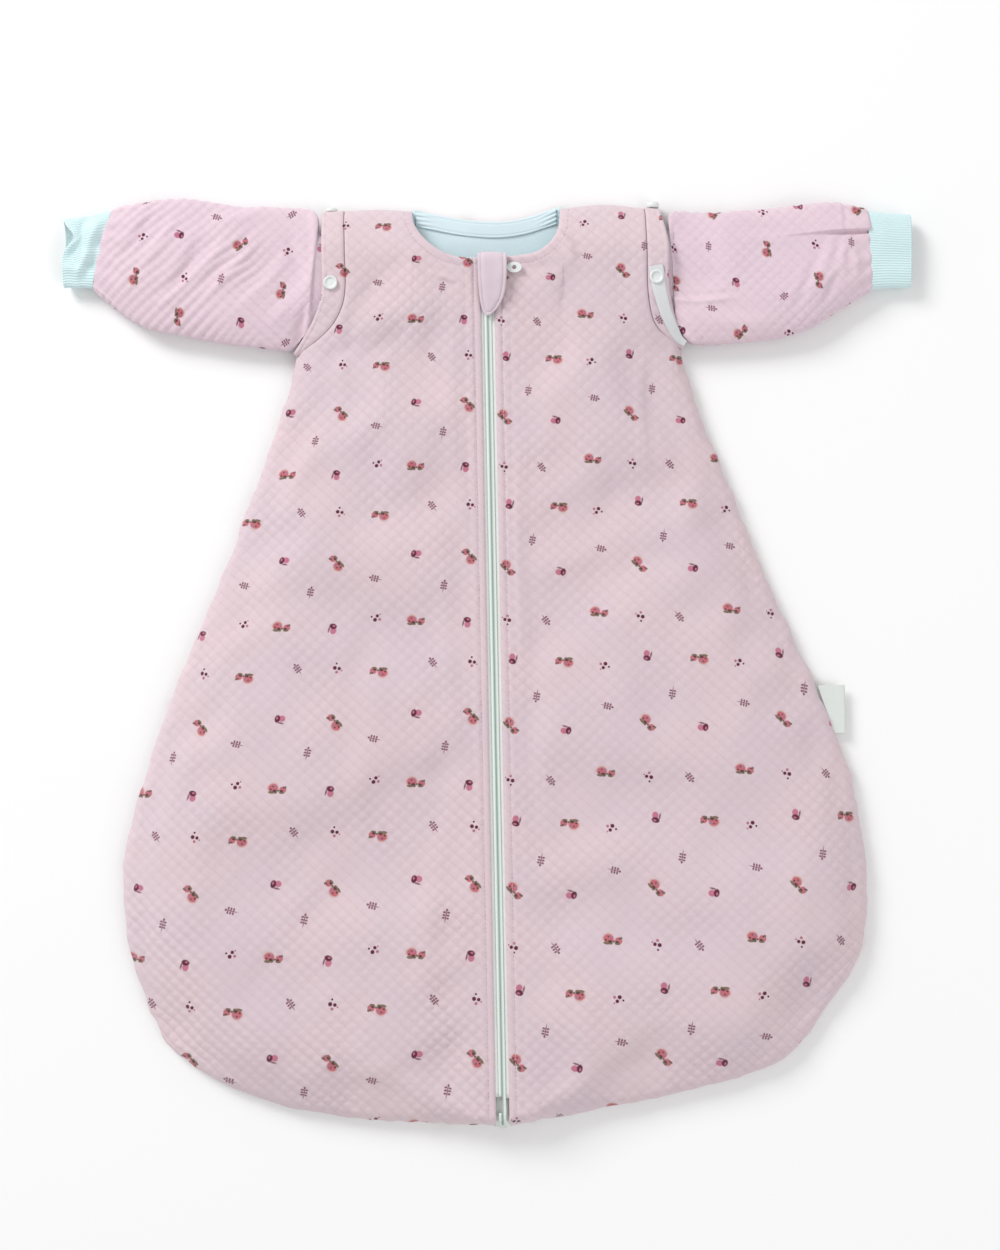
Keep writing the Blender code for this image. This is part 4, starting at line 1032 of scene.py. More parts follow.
LEFT_SLEEVE_FOLDS = [
    (-228, 316, -200, 346, 4.5, 1.6), (-214, 306, -176, 349, 4.5, 1.5), (-240, 312, -216, 350, 4.5, -1.3),
    (-190, 296, -150, 340, 5, 1.1), (-262, 330, -236, 366, 4.5, 1.4), (-276, 338, -252, 370, 4, -1.2),
    (-250, 300, -226, 318, 4, 1.2), (-272, 318, -292, 352, 4.5, 1.2), (-166, 284, -145, 312, 5, 0.9),
    (-150, 352, -140, 318, 4.5, -1.2), (-206, 362, -170, 372, 5, 0.8),
]
RIGHT_SLEEVE_FOLDS = [
    (133, 299, 188, 298, 2.6, 1.5), (260, 309, 273, 342, 3.2, 1.6), (255, 294, 268, 330, 3.2, -1.4),
    (243, 300, 262, 340, 4, 1.1), (271, 346, 271, 371, 1.6, -1.0), (280, 312, 276, 338, 3.5, 1.2),
    (150, 345, 172, 318, 6, 0.9), (196, 345, 232, 340, 5, 0.8), (165, 283, 215, 280, 6, 0.9),
    (140, 340, 150, 312, 4, -1.0), (232, 290, 248, 320, 4, -0.9),
]


def sleeve(side):
    """A padded sleeve with its quilting, folds and seam, open at both ends.

    It narrows only where it is tucked in.
    """
    left = side == "left"
    if left:
        upper_points = [(-0.1125, 0.3500), (-0.1258, 0.3515), (-0.1275, 0.3655), (-0.1345, 0.3715),
                        (-0.1540, 0.3738)]
        lower_points = [(-0.1125, 0.2880), (-0.1265, 0.2880), (-0.1390, 0.2765), (-0.1515, 0.2665),
                        (-0.1620, 0.2662)]
        upper_points, lower_points = upper_points + LEFT_UPPER[4:], lower_points + LEFT_LOWER[4:]
    else:
        upper_points = [(0.1205, 0.3480), (0.1372, 0.3490), (0.1385, 0.3600), (0.1440, 0.3645),
                        (0.1610, 0.3652)]
        lower_points = [(0.1205, 0.2890), (0.1385, 0.2890), (0.1465, 0.2760), (0.1555, 0.2660),
                        (0.1650, 0.2645)]
        upper_points, lower_points = upper_points + RIGHT_UPPER[4:], lower_points + RIGHT_LOWER[4:]
    rows, around = 128, 320
    shares = np.linspace(0, 1, rows + 1) ** 1.15
    upper, lower = spline(upper_points, 300), spline(lower_points, 300)
    ring_share = lengths_along(np.array(upper_points))
    ring_share /= ring_share[-1]
    upper, lower = at_shares(upper, shares), at_shares(lower, shares)
    floor = np.interp(shares, ring_share,
                      [8.3 * MM, 8.3 * MM, 7.2 * MM, 5.0 * MM, 1.6 * MM] + SLEEVE_FLOOR[4:])
    ceiling = np.interp(shares, ring_share,
                        [18 * MM, 18 * MM, 18.6 * MM, 19 * MM, 19.6 * MM] + SLEEVE_CEILING[4:])
    floor, ceiling = (np.convolve(np.pad(v, 3, "edge"), np.ones(7) / 7, "valid") for v in (floor, ceiling))
    turns = even_turns(around)
    base = ring_places(upper, lower, floor, ceiling, turns)
    x, y = base[..., 0], base[..., 1]
    over = (turns <= 0.5)[None, :]
    edge_y = np.repeat(upper[:, 1:2], around, axis=1)
    unrolled = np.where(over, y, 2 * edge_y - y)
    closing = np.stack([lower[:, 0], 2 * upper[:, 1] - lower[:, 1]], axis=-1)[:, None]
    flat = np.concatenate([np.stack([x, unrolled], axis=-1), closing], axis=1)

    along = (np.abs(x - upper[0, 0]))[:, :]
    outside = smooth(along, 14 * MM, 24 * MM)
    from_cuff = (1 - shares)[:, None] * 175 * MM + 0 * x
    end = smooth(from_cuff, 1 * MM, 9 * MM)
    nxt, prv = np.roll(base, -1, axis=1), np.roll(base, 1, axis=1)
    down = np.gradient(base, axis=0)
    normal = np.cross(nxt - prv, down)
    normal /= np.linalg.norm(normal, axis=-1, keepdims=True)
    middle = base.mean(axis=1, keepdims=True)
    if ((base - middle) * normal).sum() < 0:
        normal = -normal

    period = (9.0 * MM, 8.6 * MM)
    flat_x, flat_y = flat[:, :-1, 0], flat[:, :-1, 1]
    diamonds = quilting(flat_x, flat_y, 7 + left, period)
    slanted = np.abs(np.sin(math.pi * ((flat_x / (9.6 * MM)) - flat_y / (8.4 * MM)
                                       + 0.22 * waves(flat_x, flat_y, 50 * MM, 19))))
    lean = smooth(along, 45 * MM, 80 * MM) if left else 0 * x
    lean = lean * (0.65 + 0.35 * waves(flat_x, flat_y, 60 * MM, 14)) * over
    height = PUFF * (0.85 * diamonds * (1 - 0.55 * lean) + 1.35 * (slanted**0.8 - 0.3) * lean
                     - 0.3) * outside * end
    plan_folds = LEFT_SLEEVE_FOLDS if left else RIGHT_SLEEVE_FOLDS
    height += creases(x, y, plan_folds) * over * outside
    under_folds = [(a + 12, b - 9, c - 8, d + 5, w, t) for a, b, c, d, w, t in plan_folds]
    height += creases(x, y, under_folds) * ~over * outside * 0.7
    height += 0.9 * MM * waves(flat_x, flat_y, 55 * MM, 51 + left) * outside * smooth(from_cuff, 0, 30 * MM)
    gathers = np.sin(2 * math.pi * (turns * 15 + 0.25 * np.sin(turns * 25)))[None, :]
    height += 0.7 * MM * gathers * np.exp(-from_cuff / (13 * MM)) * smooth(from_cuff, 0, 3 * MM)
    height -= 1.3 * MM * (1 - roll(from_cuff, 5 * MM))
    if not left:
        a, b = np.array([0.2380, 0.3440]), np.array([0.2915, 0.3475])
        run = (b - a) / np.linalg.norm(b - a)
        s = (x - a[0]) * run[0] + (y - a[1]) * run[1]
        d = -(x - a[0]) * run[1] + (y - a[1]) * run[0]
        length = np.linalg.norm(b - a)
        strength = smooth(s, -25 * MM, 35 * MM) * over
        fading = np.exp(-np.clip(d, 0, None) / (11 * MM))
        height += 2.6 * MM * smooth(d, -0.5 * MM, 0.9 * MM) * fading * strength
        reaching = smooth(s, 12 * MM, 34 * MM) * (s < length + 0.02)
        height -= 2.2 * MM * ridge(d, -1.1 * MM, 1.2 * MM) * strength * reaching
    coarse = np.concatenate([base, base[:, :1]], axis=1)[::4, ::8]
    held = np.zeros(coarse.shape[:2])
    held[:6], held[-1] = 1, 1
    loose = slack(f"{side}_sleeve", coarse, held, 0.025, 2.6 * MM, wrap=True)
    loose = spread(loose, rows + 1, around + 1)[:, :-1]
    blend_seam = smooth(np.minimum(turns, 1 - turns), 0, 0.03)[None, :, None]
    free = (outside * smooth(from_cuff, 0, 25 * MM))[..., None]
    outer = base + normal * height[..., None] + loose * free * blend_seam
    outer[..., 2] = np.maximum(outer[..., 2], 0.05 * MM)
    thick = np.interp(shares, [0, 0.08, 0.2, 1], [1.6, 1.9, 3.2, 2.8])[:, None, None] * MM
    raised = ((outer - base) * normal).sum(axis=-1)
    lowest = raised.copy()
    for step in range(1, 4):
        for axis in (0, 1):
            lowest = np.minimum(lowest, np.minimum(np.roll(raised, step, axis), np.roll(raised, -step, axis)))
    sunk = np.maximum(thick[..., 0], 1.3 * MM - lowest)
    inner = (base - normal * sunk[..., None])[::2, ::2]
    lattice = (
        ((-0.22724, 0.38889), (-0.0076, -0.0969), (-0.1085, 0.0118), (0, 0), (0, 0))
        if left
        else ((0.23379, 0.39984), (0.0172, -0.0902), (-0.1065, -0.0003), (0, 0), (0, 0))
    )
    cells = np.stack(print_cells(flat[..., 0], flat[..., 1], lattice, False), axis=-1)
    return tube(f"{side}_sleeve_cloth", outer, inner, [SLEEVE_PINK, MINT], flat, cells)


def cuff(side):
    """A rib band. The left one is crumpled and its mouth tips up; the right one lies flat."""
    left = side == "left"
    if left:
        upper_ends = (-0.2860, 0.3745), (-0.3220, 0.3690)
        lower_ends = (-0.3010, 0.3150), (-0.3225, 0.3160)
    else:
        upper_ends = (0.2905, 0.3640), (0.3230, 0.3610)
        lower_ends = (0.2935, 0.3035), (0.3220, 0.3040)
    rows, around = 56, 480
    shares = np.linspace(-0.06, 1, rows + 1)
    ends = np.array([upper_ends, lower_ends])
    upper, lower = ends[:, :1] + shares[:, None] * (ends[:, 1:] - ends[:, :1])
    pull = 1.4 * MM * np.clip(np.sin(math.pi * np.clip(shares, 0, 1)), 0, 1)
    upper[:, 1] -= pull * 0.6
    lower[:, 1] += pull * 0.5
    ceiling = SLEEVE_CEILING[-1] - 2.0 * MM * np.clip(shares, 0, 1)
    floor = np.full(rows + 1, SLEEVE_FLOOR[-1])
    turns = even_turns(around)
    base = ring_places(upper, lower, floor, ceiling, turns)
    x, y = base[..., 0], base[..., 1]
    over = (turns <= 0.5)[None, :] * np.sin(2 * math.pi * np.clip(turns, 0, 0.5))[None, :] ** 0.5
    middle = base.mean(axis=1, keepdims=True)
    outwards = base - middle
    outwards[..., 0] = 0
    outwards /= np.linalg.norm(outwards, axis=-1, keepdims=True)
    whole_rings = np.concatenate([base, base[:, :1]], axis=1)
    round_it = np.cumsum(np.linalg.norm(np.diff(whole_rings, axis=1), axis=-1)[rows // 2])
    round_it = np.concatenate([[0], round_it])
    ribs = max(1, round(round_it[-1] / (1.9 * MM)))
    phase = 2 * math.pi * ribs * round_it[:-1] / round_it[-1]
    height = 0.2 * MM * np.cos(phase)[None, :] * (1 - 0.45 * over) - 0.5 * MM
    height = height - 0.9 * MM * (1 - roll(np.abs(shares - 1)[:, None] * 36 * MM, 1.2 * MM))
    height -= 0.3 * MM * ridge(shares[:, None], 0.93, 0.02)
    if left:
        folds = [(-292, 366, -306, 332, 4, 2.8), (-300, 372, -318, 348, 4.5, -2.6),
                 (-304, 325, -322, 330, 4, 1.8),
                 (-296, 345, -312, 322, 3.5, 1.7), (-310, 360, -322, 338, 3.5, 2.1)]
        mouth = ridge(y, 0.3560, 10 * MM) * smooth(shares, 0.35, 1.0)[:, None] * over
        shift = 9.5 * MM * mouth
        height += 0.8 * MM * waves(x, y, 18 * MM, 71) * over
    else:
        folds = [(296, 352, 316, 330, 6, 0.6), (300, 318, 320, 314, 5, 0.5)]
        shift = 0 * x
        height += 0.3 * MM * waves(x, y, 30 * MM, 72) * over
    outer = base + outwards * height[..., None]
    outer[..., 2] += creases(x, y, folds) * over
    outer[..., 0] += shift
    if left:
        outer[..., 2] += 1.6 * MM * ridge(y, 0.3560, 10 * MM) * smooth(shares, 0.5, 1.0)[:, None] * over
        outer[..., 1] += 0.8 * MM * waves(x, 0 * x, 14 * MM, 73) * smooth(shares, 0.1, 0.5)[:, None]
    outer[..., 2] = np.maximum(outer[..., 2], 0.3 * MM)
    inner = (outer - outwards * (1.5 * MM))[::2, ::2]
    long_way = np.repeat((shares * 36 * MM)[:, None], around + 1, axis=1)
    turned = np.repeat((round_it / round_it[-1] * ribs * 1.9 * MM)[None, :], rows + 1, axis=0)
    flat = np.stack([long_way, turned], axis=-1)
    return tube(f"{side}_sleeve_cuff_knit", outer, inner, [RIB], flat)


def stud_tape(side):
    """The woven tape round the tucked end of the sleeve that carries the studs."""
    left = side == "left"
    out = -1 if left else 1
    upper, lower = ((LEFT_UPPER, LEFT_LOWER) if left else (RIGHT_UPPER, RIGHT_LOWER))
    upper, lower = np.array(upper[0]), np.array(lower[0])
    rows, around = 10, 120
    reach = np.linspace(0.8 * MM, 10.5 * MM, rows + 1)
    shift = np.stack([out * reach, 0 * reach], axis=-1)
    turns = even_turns(around)

    def ring(inset):
        grow = np.array([0.0, inset])
        low, high = np.full(rows + 1, SLEEVE_FLOOR[0] + inset), np.full(rows + 1, SLEEVE_CEILING[0] - inset)
        return ring_places(upper - grow + shift, lower + grow + shift, low, high, turns)

    bulge = 0.08 * MM * np.sin(np.linspace(0, math.pi, rows + 1))
    outer = ring(-0.82 * MM) + np.stack([0 * bulge, 0 * bulge, bulge], axis=-1)[:, None]
    inner = ring(-0.28 * MM)[::2, ::2]
    flat = np.zeros((rows + 1, around + 1, 2))
    return tube(f"{side}_sleeve_stud_tape", outer, inner, [STUD_TAPE], flat)


# ---------------------------------------------------------------- zip, guard, studs, neck band and label

UNDER_SLIDER = 21.3 * MM


def centre_top(y):
    """Height of the front along the zip."""
    return SEAM_TOP + CAVITY * rise(np.asarray(y, float) + 0.3290, ZIP_HEM_REACH)


def strip(name, xs, ys, top, thick, material, rows, edge_x=None):
    """A narrow woven strip along the zip, with its height as a function of y."""
    v = np.linspace(ys[0], ys[1], rows + 1)
    u = np.linspace(0, 1, 5)
    plan = np.stack([xs[0] + (xs[1] - xs[0]) * u[None, :] + 0 * v[:, None], v[:, None] + 0 * u[None, :]],
                    axis=-1)
    if edge_x is not None:
        outer_x = edge_x(v)
        plan[..., 0] = xs[0] + (outer_x - xs[0])[:, None] * u[None, :]
    high = top(v)[:, None] + 0 * u[None, :]
    grid = lifted(plan, high)
    under = grid[::2, ::2] - np.array([0, 0, thick])
    return slab(name, grid, under, [material], plan)


def places_of(obj):
    """The plan position of every vertex."""
    points = np.empty(len(obj.data.vertices) * 3, np.float32)
    obj.data.vertices.foreach_get("co", points)
    return points.reshape(-1, 3)[:, :2]


def zip_teeth(name, sign, high, low, pitch=1.5 * MM):
    """One half of the coil: a core strip with a close row of rounded loops across it."""
    count = int((high - low) / pitch)
    y = high - pitch * (np.arange(count) + (0.25 if sign > 0 else 0.75))
    z = centre_top(y) - 1.9 * MM
    centres = np.stack([0 * y + sign * 1.42 * MM, y, z], axis=-1)
    ways, ups = np.tile([1.0, 0.0, 0.0], (count, 1)), np.tile([0.0, 0.0, 1.0], (count, 1))
    loops = beads(name, centres, ways, ups, (2.5 * MM, 1.36 * MM, 2.1 * MM), TEETH)
    core = strip(name + "_core", (sign * 0.06 * MM, sign * 2.7 * MM), (high, low),
                 lambda v: centre_top(v) - 1.1 * MM, 1.2 * MM, TEETH, 2 * (count // 4))
    note(loops, "flat", places_of(loops))
    return join(loops, core)


def join(first, *others):
    """One mesh from several, keeping the first one's name."""
    bm = bmesh.new()
    bm.from_mesh(first.data)
    for other in others:
        bm.from_mesh(other.data)
    bm.to_mesh(first.data)
    bm.free()
    for other in others:
        mesh = other.data
        bpy.data.objects.remove(other)
        bpy.data.meshes.remove(mesh)
    return first


def coil_material():
    """White nylon loops whose locked middle looks greener and darker, with painted shade between the loops.
    """
    s = Shader("zip_coil_nylon_loops", roughness=0.45, specular=0.45)
    x, y, _ = s.split(s.attribute("flat"))
    middle = s.math("ABSOLUTE", x)
    ridge = s.math("COSINE", s.math("MULTIPLY", y, 2 * math.pi / (1.5 * MM)))
    colour = s.mix(s.ramp(middle, 0.55 * MM, 1.5 * MM), (0.36, 0.48, 0.44), (0.80, 0.845, 0.81))
    # Painted shade: darker across the gaps between neighbouring loops, once per loop pitch along the zip.
    colour = s.mix(s.ramp(ridge, -1.0, 0.2, 0.3, 0.0), colour, (0.56, 0.64, 0.60))
    grain = s.noise(s.attribute("flat"), 900.0)
    return s.finish(colour, s.bump(grain, 0.03 * MM, 0.3), s.ramp(grain, 0.2, 0.8, 0.38, 0.52))


COIL = coil_material()


def chin_guard():
    """The tongue over the slider: two layers of plain jersey with a turned, sewn edge."""
    y0, z0 = 0.3335, SEAM_TOP + CAVITY + 0.6 * MM
    spine = np.array([(-1.7, 0), (-2.5, 2.6), (-5.4, 4.9), (-12, 5.1), (-21, 4.4), (-31, 2.6), (-40, 1.0),
                      (-48, 0.5)]) * MM
    rows, columns = 120, 48
    spine = spline(spine + np.array([y0, z0]), rows)
    slope = np.gradient(spine, axis=0)
    slope /= np.linalg.norm(slope, axis=1, keepdims=True)
    up = np.stack([slope[:, 1], -slope[:, 0]], axis=1)
    s = np.linspace(0, 1, rows + 1)
    left = spline([(-0.0072, 0.0), (-0.0066, 0.5), (-0.0054, 0.8), (-0.0034, 0.94), (-0.0012, 1.0)], 200)
    right = spline([(0.0148, 0.0), (0.0146, 0.4), (0.0126, 0.68), (0.0078, 0.87), (0.0030, 0.965),
                    (-0.0006, 1.0)], 200)
    low, high = np.interp(s, left[:, 1], left[:, 0]), np.interp(s, right[:, 1], right[:, 0])
    u = closer_at_ends(columns, 0.7)
    x = low[:, None] + (high - low)[:, None] * u[None, :]
    run = np.concatenate([[0], np.cumsum(np.linalg.norm(np.diff(spine, axis=0), axis=1))])
    edge = np.minimum(np.minimum(x - low[:, None], high[:, None] - x), (run[-1] - run)[:, None] * 0.9)
    puff = 1.5 * MM + 0.75 * MM * smooth(edge, 1.5 * MM, 6 * MM)
    puff = puff + 0.35 * MM * waves(x, run[:, None] + 0 * x, 20 * MM, 91)
    puff -= 0.55 * MM * ridge(edge, 2.6 * MM, 0.5 * MM)
    puff = np.maximum(puff, 0.9 * MM) * (0.35 + 0.65 * roll(edge, 1.2 * MM))
    lift = 1.1 * MM * smooth(x, 4 * MM, 14 * MM) * smooth(run[:, None], 4 * MM, 14 * MM)
    place = np.stack([x, spine[:, :1] + 0 * x, spine[:, 1:] + 0 * x + lift], axis=-1)
    upwards = np.stack([np.zeros(rows + 1), up[:, 0], up[:, 1]], axis=-1)[:, None]
    grid = place + upwards * puff[..., None]
    under = place[::2, ::2] + upwards[::2] * (0.1 * MM + 0.3 * MM
                                              * (1 - roll(edge, 1.2 * MM)))[::2, ::2, None]
    flat = np.stack([x, run[:, None] + 0 * x], axis=-1)
    return slab("chin_guard_cloth", grid, under, [GUARD_PINK], flat)


def back_neck_band():
    """A jersey band sewn round the inside of the back neck, gathered a little at its ends."""
    upper = spline([(-0.0540, 0.3715)] + BACK_NECK[1:-1] + [(0.0535, 0.3712)], 120) - np.array([0, 0.6 * MM])
    lower = upper - np.array([0, 12.2 * MM])
    rows, columns = 24, 120
    v = np.linspace(0, 1, rows + 1)
    plan = patch(upper, lower, [upper[0], lower[0]], [upper[-1], lower[-1]], v,
                 np.linspace(0, 1, columns + 1))
    x, across = plan[..., 0], v[:, None] * 12.2 * MM
    ends = ridge(np.abs(x), 0.053, 9 * MM)
    high = 7.35 * MM - 0.5 * MM * (1 - roll(np.minimum(across, 12.2 * MM - across), 1.2 * MM))
    high = high - 0.35 * MM * ridge(across, 10.6 * MM, 0.6 * MM)
    high = high - 0.3 * MM * ridge(across, 2.0 * MM, 0.5 * MM)
    high = high + 0.55 * MM * ends * np.sin(2 * math.pi * across / (3.4 * MM) + x / (5 * MM))
    grid = lifted(plan, high)
    under = lifted(plan, 0 * high + 6.4 * MM)[::2, ::2]
    return slab("back_neck_band_cloth", grid, under, [MINT], plan)


def snap(name, x, y, z, up):
    """A ring-faced resin cap with a sunk, slightly domed middle."""
    profile = [(0, 0.55), (1.5, 0.50), (2.6, 0.42), (3.15, 0.5), (3.55, 0.95), (3.9, 1.42), (4.35, 1.58),
               (4.85, 1.45),
               (5.15, 1.1), (5.3, 0.6), (5.25, 0.12), (5.1, 0.0), (0, 0.0)]
    return lathe(name, [(r * MM, h * MM) for r, h in profile], (x, y, z), RESIN, flip=up < 0, steps=48)


def stud(name, x, y, z, radius, tall, upright=True):
    """A flat resin disc with rounded edges and a small dimple."""
    profile = [(0, tall - 0.12 * MM), (radius * 0.3, tall - 0.1 * MM), (radius * 0.42, tall),
               (radius * 0.86, tall),
               (radius * 0.97, tall * 0.8), (radius, tall * 0.45), (radius * 0.96, 0.06 * MM),
               (radius * 0.9, 0.0), (0, 0.0)]
    return lathe(name, profile, (x, y, z), RESIN, steps=40, upright=upright)


def side_label():
    """A loop of satin tape: two layers that meet in a fold, caught in the side seam."""
    path = [(0.2462, 6.72), (0.2520, 6.85), (0.2585, 6.80), (0.2640, 6.75), (0.2660, 6.55), (0.2667, 6.15),
            (0.2660, 5.75), (0.2640, 5.55), (0.2560, 5.50), (0.2462, 5.58)]
    path = spline([(x, z * MM) for x, z in path], 60)
    rows, columns = 48, 60
    v = np.linspace(0, 1, rows + 1)
    y = 0.0030 - 0.0370 * v
    along = path[None, :, 0] + 0 * y[:, None]
    start = np.interp(v, [0, 1], [0.0, 0.0118])[:, None]
    along = 0.2667 - (0.2667 - along) * (1 - start / 0.0205)
    z = path[None, :, 1] + 0.12 * MM * np.sin(y / (5 * MM))[:, None]
    slope = np.gradient(path, axis=0)
    slope /= np.linalg.norm(slope, axis=1, keepdims=True)
    side = np.stack([-slope[:, 1], np.zeros(len(slope)), slope[:, 0]], axis=1)[None]
    centre = np.stack([along, y[:, None] + 0 * along, z], axis=-1)
    grid, under = centre + side * 0.2 * MM, (centre - side * 0.2 * MM)[::2, ::2]
    flat = np.stack([along, y[:, None] + 0 * along], axis=-1)
    return slab("side_label_tape", grid, under, [LABEL_TAPE], flat)


def stitches(name, line, height, material, pitch=3.1 * MM, size=(2.3, 0.55, 0.42)):
    """A row of small stitches along a plan line, lying at height(points)."""
    line = np.asarray(line, float)
    reach = np.concatenate([[0], np.cumsum(np.linalg.norm(np.diff(line, axis=0), axis=1))])
    count = int(reach[-1] / pitch)
    at = (np.arange(count) + 0.5) / count * reach[-1]
    plan = np.stack([np.interp(at, reach, line[:, k]) for k in range(2)], axis=1)
    ahead = np.stack([np.interp(at + 1.2 * MM, reach, line[:, k]) for k in range(2)], axis=1)
    behind = np.stack([np.interp(at - 1.2 * MM, reach, line[:, k]) for k in range(2)], axis=1)
    z, z_ahead, z_behind = height(plan), height(ahead), height(behind)
    centres = np.column_stack([plan, z + 0.05 * MM])
    ways = np.column_stack([ahead - behind, z_ahead - z_behind])
    ways[np.linalg.norm(ways, axis=1) < 1e-7] = (0, 1, 0)
    return beads(name, centres, ways, np.tile([0.0, 0.0, 1.0], (count, 1)), [s * MM for s in size], material)


def surface_reader(heights):
    """height(points) from a panel's own grid, by its nearest vertex."""
    plan, z = heights
    from_plan, from_z = plan.reshape(-1, 2), z.ravel()

    def height(points):
        found = []
        for p in points:
            near = np.argmin(((from_plan - p) ** 2).sum(axis=1))
            found.append(from_z[near])
        return np.array(found)

    return height


def dress(node, material, bevel=None):
    """A CAD piece keeps its own shape, with softened edges and its own material."""
    obj = NODES[node]
    obj.data.materials.clear()
    obj.data.materials.append(material)
    if bevel:
        made = obj.modifiers.new("soft_edges", "BEVEL")
        made.width = bevel
        made.segments = 3
        made.limit_method = "ANGLE"
        made.angle_limit = math.radians(35)
        made.harden_normals = False
    return obj


# ---------------------------------------------------------------- assembly


def on_left_front(obj):
    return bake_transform(obj)


front_right, right_heights = front("right")
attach(front_right, "bag")
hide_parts("front_right_shell", "front_right_wadding", "front_right_lining")

front_left, left_heights = front("left")
on_left_front(front_left)
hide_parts("front_left_shell", "front_left_wadding", "front_left_lining",
            "front_left_flap_shell", "front_left_flap_wadding", "front_left_flap_lining")

back_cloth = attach(back(), "bag")
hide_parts("back_shell", "back_wadding", "back_lining")

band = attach(back_neck_band(), "bag")
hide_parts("back_neck_band")

for side in ("left", "right"):
    front_band, back_band = armhole_bands(side)
    for obj, which in ((front_band, "front"), (back_band, "back")):
        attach(obj, "bag")
        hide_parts(f"{side}_armhole_band_{which}")

    body = f"{side}_sleeve"
    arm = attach(sleeve(side), body)
    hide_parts(f"{side}_sleeve_shell", f"{side}_sleeve_wadding", f"{side}_sleeve_lining")
    knit_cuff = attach(cuff(side), body)
    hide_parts(f"{side}_sleeve_cuff")
    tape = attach(stud_tape(side), body)
    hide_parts(f"{side}_sleeve_snap_tape")

    x = -0.1178 if side == "left" else 0.1272
    shoulder = (LEFT_UPPER if side == "left" else RIGHT_UPPER)[0][1]
    for place, z, up in (("front", SEAM_TOP + CAVITY + 0.3 * MM, 1), ("back", 1.8 * MM, -1)):
        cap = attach(snap(f"{side}_snap_cap_{place}_ring", x, 0.3130, z, up), "bag")
        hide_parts(f"{side}_snap_cap_{place}")
    edge = 0.3703 if side == "left" else 0.3692
    cap = stud(f"{side}_snap_cap_shoulder_disc", x, edge, SEAM_TOP / 2 + 1.0 * MM, 4.8 * MM, 0.3732 - edge,
               upright=False)
    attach(cap, "bag")
    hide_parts(f"{side}_snap_cap_shoulder")
    clear = 1.15 * MM
    for place, z in (("front", SLEEVE_CEILING[0] + clear), ("back", SLEEVE_FLOOR[0] - clear - 0.85 * MM)):
        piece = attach(stud(f"{side}_snap_stud_{place}_disc", x, 0.3130, z, 4.0 * MM, 0.85 * MM), body)
        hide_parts(f"{side}_snap_stud_{place}")
    tip_z = (SLEEVE_FLOOR[0] + SLEEVE_CEILING[0]) / 2 - 2.0 * MM
    piece = stud(f"{side}_snap_stud_shoulder_disc", x, shoulder + clear, tip_z, 2.2 * MM, 0.85 * MM,
                 upright=False)
    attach(piece, body)
    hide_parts(f"{side}_snap_stud_shoulder")

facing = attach(armhole_tape(), "bag")

# Zip.
flat_top = SEAM_TOP + CAVITY - 1.6 * MM
right_tape = strip("zip_tape_right_weave", (2.75 * MM, 15.5 * MM), (0.3270, -0.3025),
                   lambda v: centre_top(v) - 1.6 * MM, 0.6 * MM, TAPE, 160)
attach(right_tape, "bag")
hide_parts("zip_tape_right")
left_tape = strip(
    "zip_tape_left_weave", (-2.75 * MM, -15.5 * MM), (0.3270, -0.3015), lambda v: flat_top + 0 * v,
                  0.6 * MM, TAPE, 160,
    edge_x=lambda v: np.interp(v, [-0.3015, -0.186, 0.3270], [-6.4 * MM, -15.5 * MM, -15.5 * MM]),
)
on_left_front(left_tape)
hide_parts("zip_tape_left")
tape_ends = strip("zip_tape_ends_weave", (-6.2 * MM, 6.2 * MM), (-0.3005, -0.3272),
                  lambda v: np.minimum(centre_top(v) - 2.3 * MM, UNDER_SLIDER), 0.6 * MM, TAPE, 24)
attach(tape_ends, "bag")

right_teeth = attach(zip_teeth("zip_coil_right_loops", 1, 0.3266, -0.3245), "bag")
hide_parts("zip_coil_right")
left_teeth = on_left_front(zip_teeth("zip_coil_left_loops", -1, 0.3220, -0.3013))
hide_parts("zip_coil_left")
left_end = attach(zip_teeth("zip_coil_left_end_loops", -1, -0.3137, -0.3245), "bag")
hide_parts("zip_coil_left_end")
for obj in (right_teeth, left_teeth, left_end):
    obj.data.materials.clear()
    obj.data.materials.append(COIL)

for node in ("zip_top_stop_left", "zip_top_stop_right", "zip_bottom_stop"):
    dress(node, RESIN, 0.35 * MM)
dress("zip_slider_body", RESIN, 0.3 * MM)
dress("zip_puller", RESIN, 0.3 * MM)

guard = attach(chin_guard(), "chin_guard")
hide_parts("chin_guard")

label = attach(side_label(), "bag")
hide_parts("side_label")

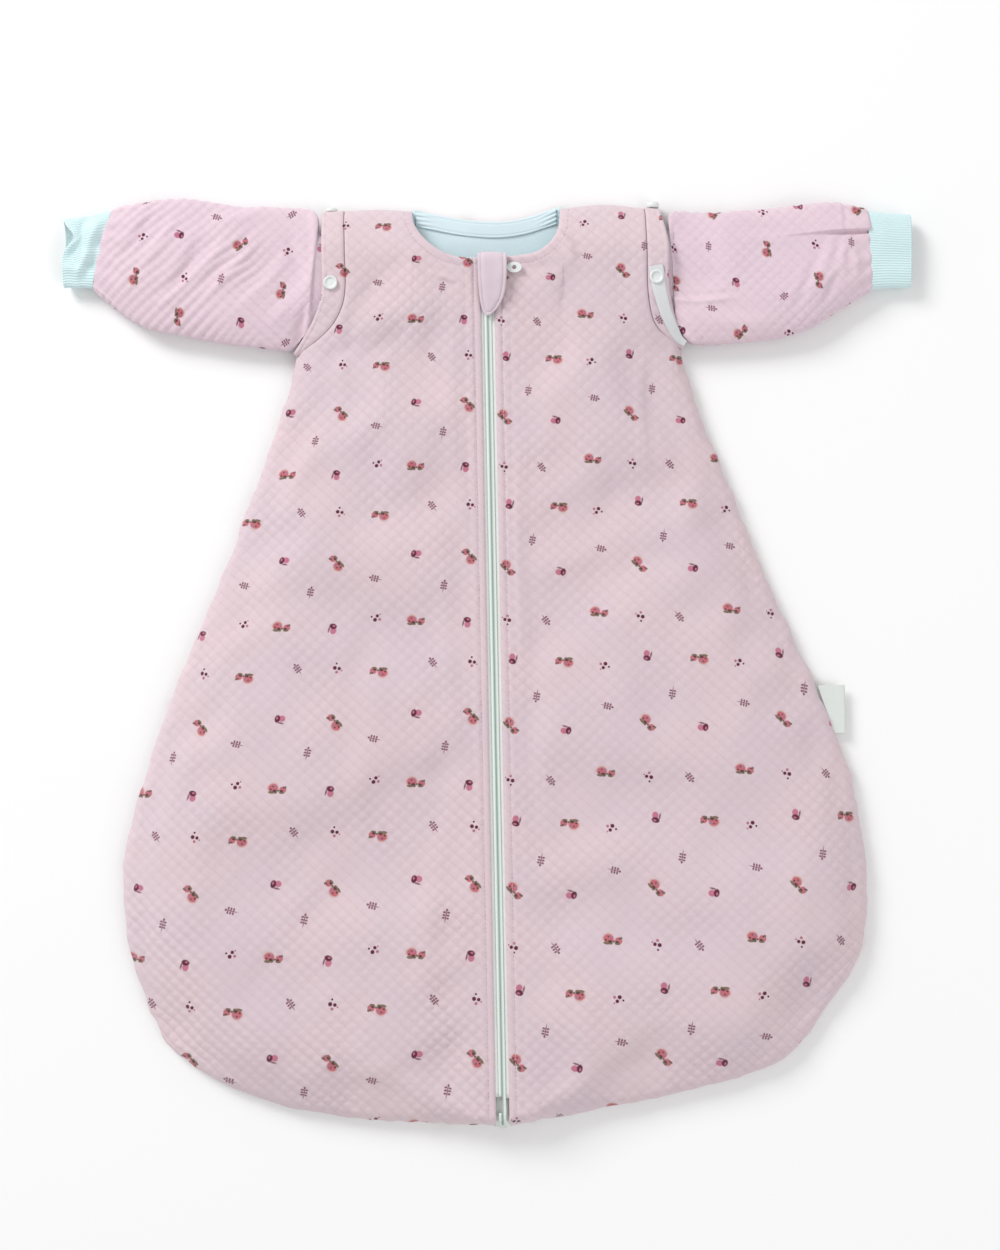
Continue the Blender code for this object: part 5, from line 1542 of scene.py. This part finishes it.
# Sewing.
for side, heights in (("left", left_heights), ("right", right_heights)):
    sign = -1 if side == "left" else 1
    read = surface_reader(heights)
    neck = spline(NECK_LEFT if side == "left" else NECK_RIGHT, 80)
    placket = [(sign * PLACKET_LINE, 0.3240), (sign * PLACKET_LINE, -0.3180)]
    rows = stitches(f"{side}_placket_stitches", placket, read, THREAD_PINK)
    shifted = []
    tangent = np.gradient(neck, axis=0)
    tangent /= np.linalg.norm(tangent, axis=1, keepdims=True)
    for p, t in zip(neck, tangent):
        shifted.append(p + np.array([sign * t[1], -sign * t[0]]) * 6.2 * MM)
    neck_rows = stitches(f"{side}_neck_stitches", shifted[16:], read, THREAD_PINK, size=(2.2, 0.5, 0.4))
    for obj in (rows, neck_rows):
        if side == "left":
            on_left_front(obj)
        else:
            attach(obj, "bag")


# ---------------------------------------------------------------- floor, light and camera


def studio():
    mesh = bpy.data.meshes.new("floor")
    mesh.from_pydata([(-14, -14, -0.0006), (14, -14, -0.0006), (14, 14, -0.0006), (-14, 14, -0.0006)], [],
                     [(0, 1, 2, 3)])
    floor = bpy.data.objects.new("floor", mesh)
    bpy.context.scene.collection.objects.link(floor)
    paper = bpy.data.materials.new("pale_paper")
    paper.use_nodes = True
    paper.node_tree.nodes["Principled BSDF"].inputs["Base Color"].default_value = (0.93, 0.93, 0.93, 1)
    paper.node_tree.nodes["Principled BSDF"].inputs["Roughness"].default_value = 0.9
    paper.node_tree.nodes["Principled BSDF"].inputs["Specular IOR Level"].default_value = 0.1
    mesh.materials.append(paper)

    def lamp(name, place, aim, size, power):
        light = bpy.data.lights.new(name, "AREA")
        light.shape = "SQUARE"
        light.size = size
        light.energy = power
        obj = bpy.data.objects.new(name, light)
        obj.location = place
        obj.rotation_euler = (Vector(aim) - Vector(place)).to_track_quat("-Z", "Y").to_euler()
        bpy.context.scene.collection.objects.link(obj)

    lamp("key", (-2.3, 2.6, 2.1), (0.0, 0.0, 0.0), 1.5, 100)
    lamp("fill", (2.0, -1.2, 2.4), (0.0, 0.0, 0.0), 2.4, 24)
    world = bpy.data.worlds.new("studio")
    world.use_nodes = True
    world.node_tree.nodes["Background"].inputs["Color"].default_value = (1, 1, 1, 1)
    world.node_tree.nodes["Background"].inputs["Strength"].default_value = 0.62
    bpy.context.scene.world = world
    bpy.context.scene.view_settings.view_transform = "Standard"

    data = bpy.data.cameras.new("camera")
    above = 1.3
    data.sensor_width = 36
    data.lens = 36 * above / 0.94375
    data.clip_start = 0.05
    camera = bpy.data.objects.new("camera", data)
    camera.location = (0.0048, 0.0535, above + 0.02)
    camera.rotation_euler = (0, 0, -0.018431)
    bpy.context.scene.collection.objects.link(camera)
    bpy.context.scene.camera = camera


studio()
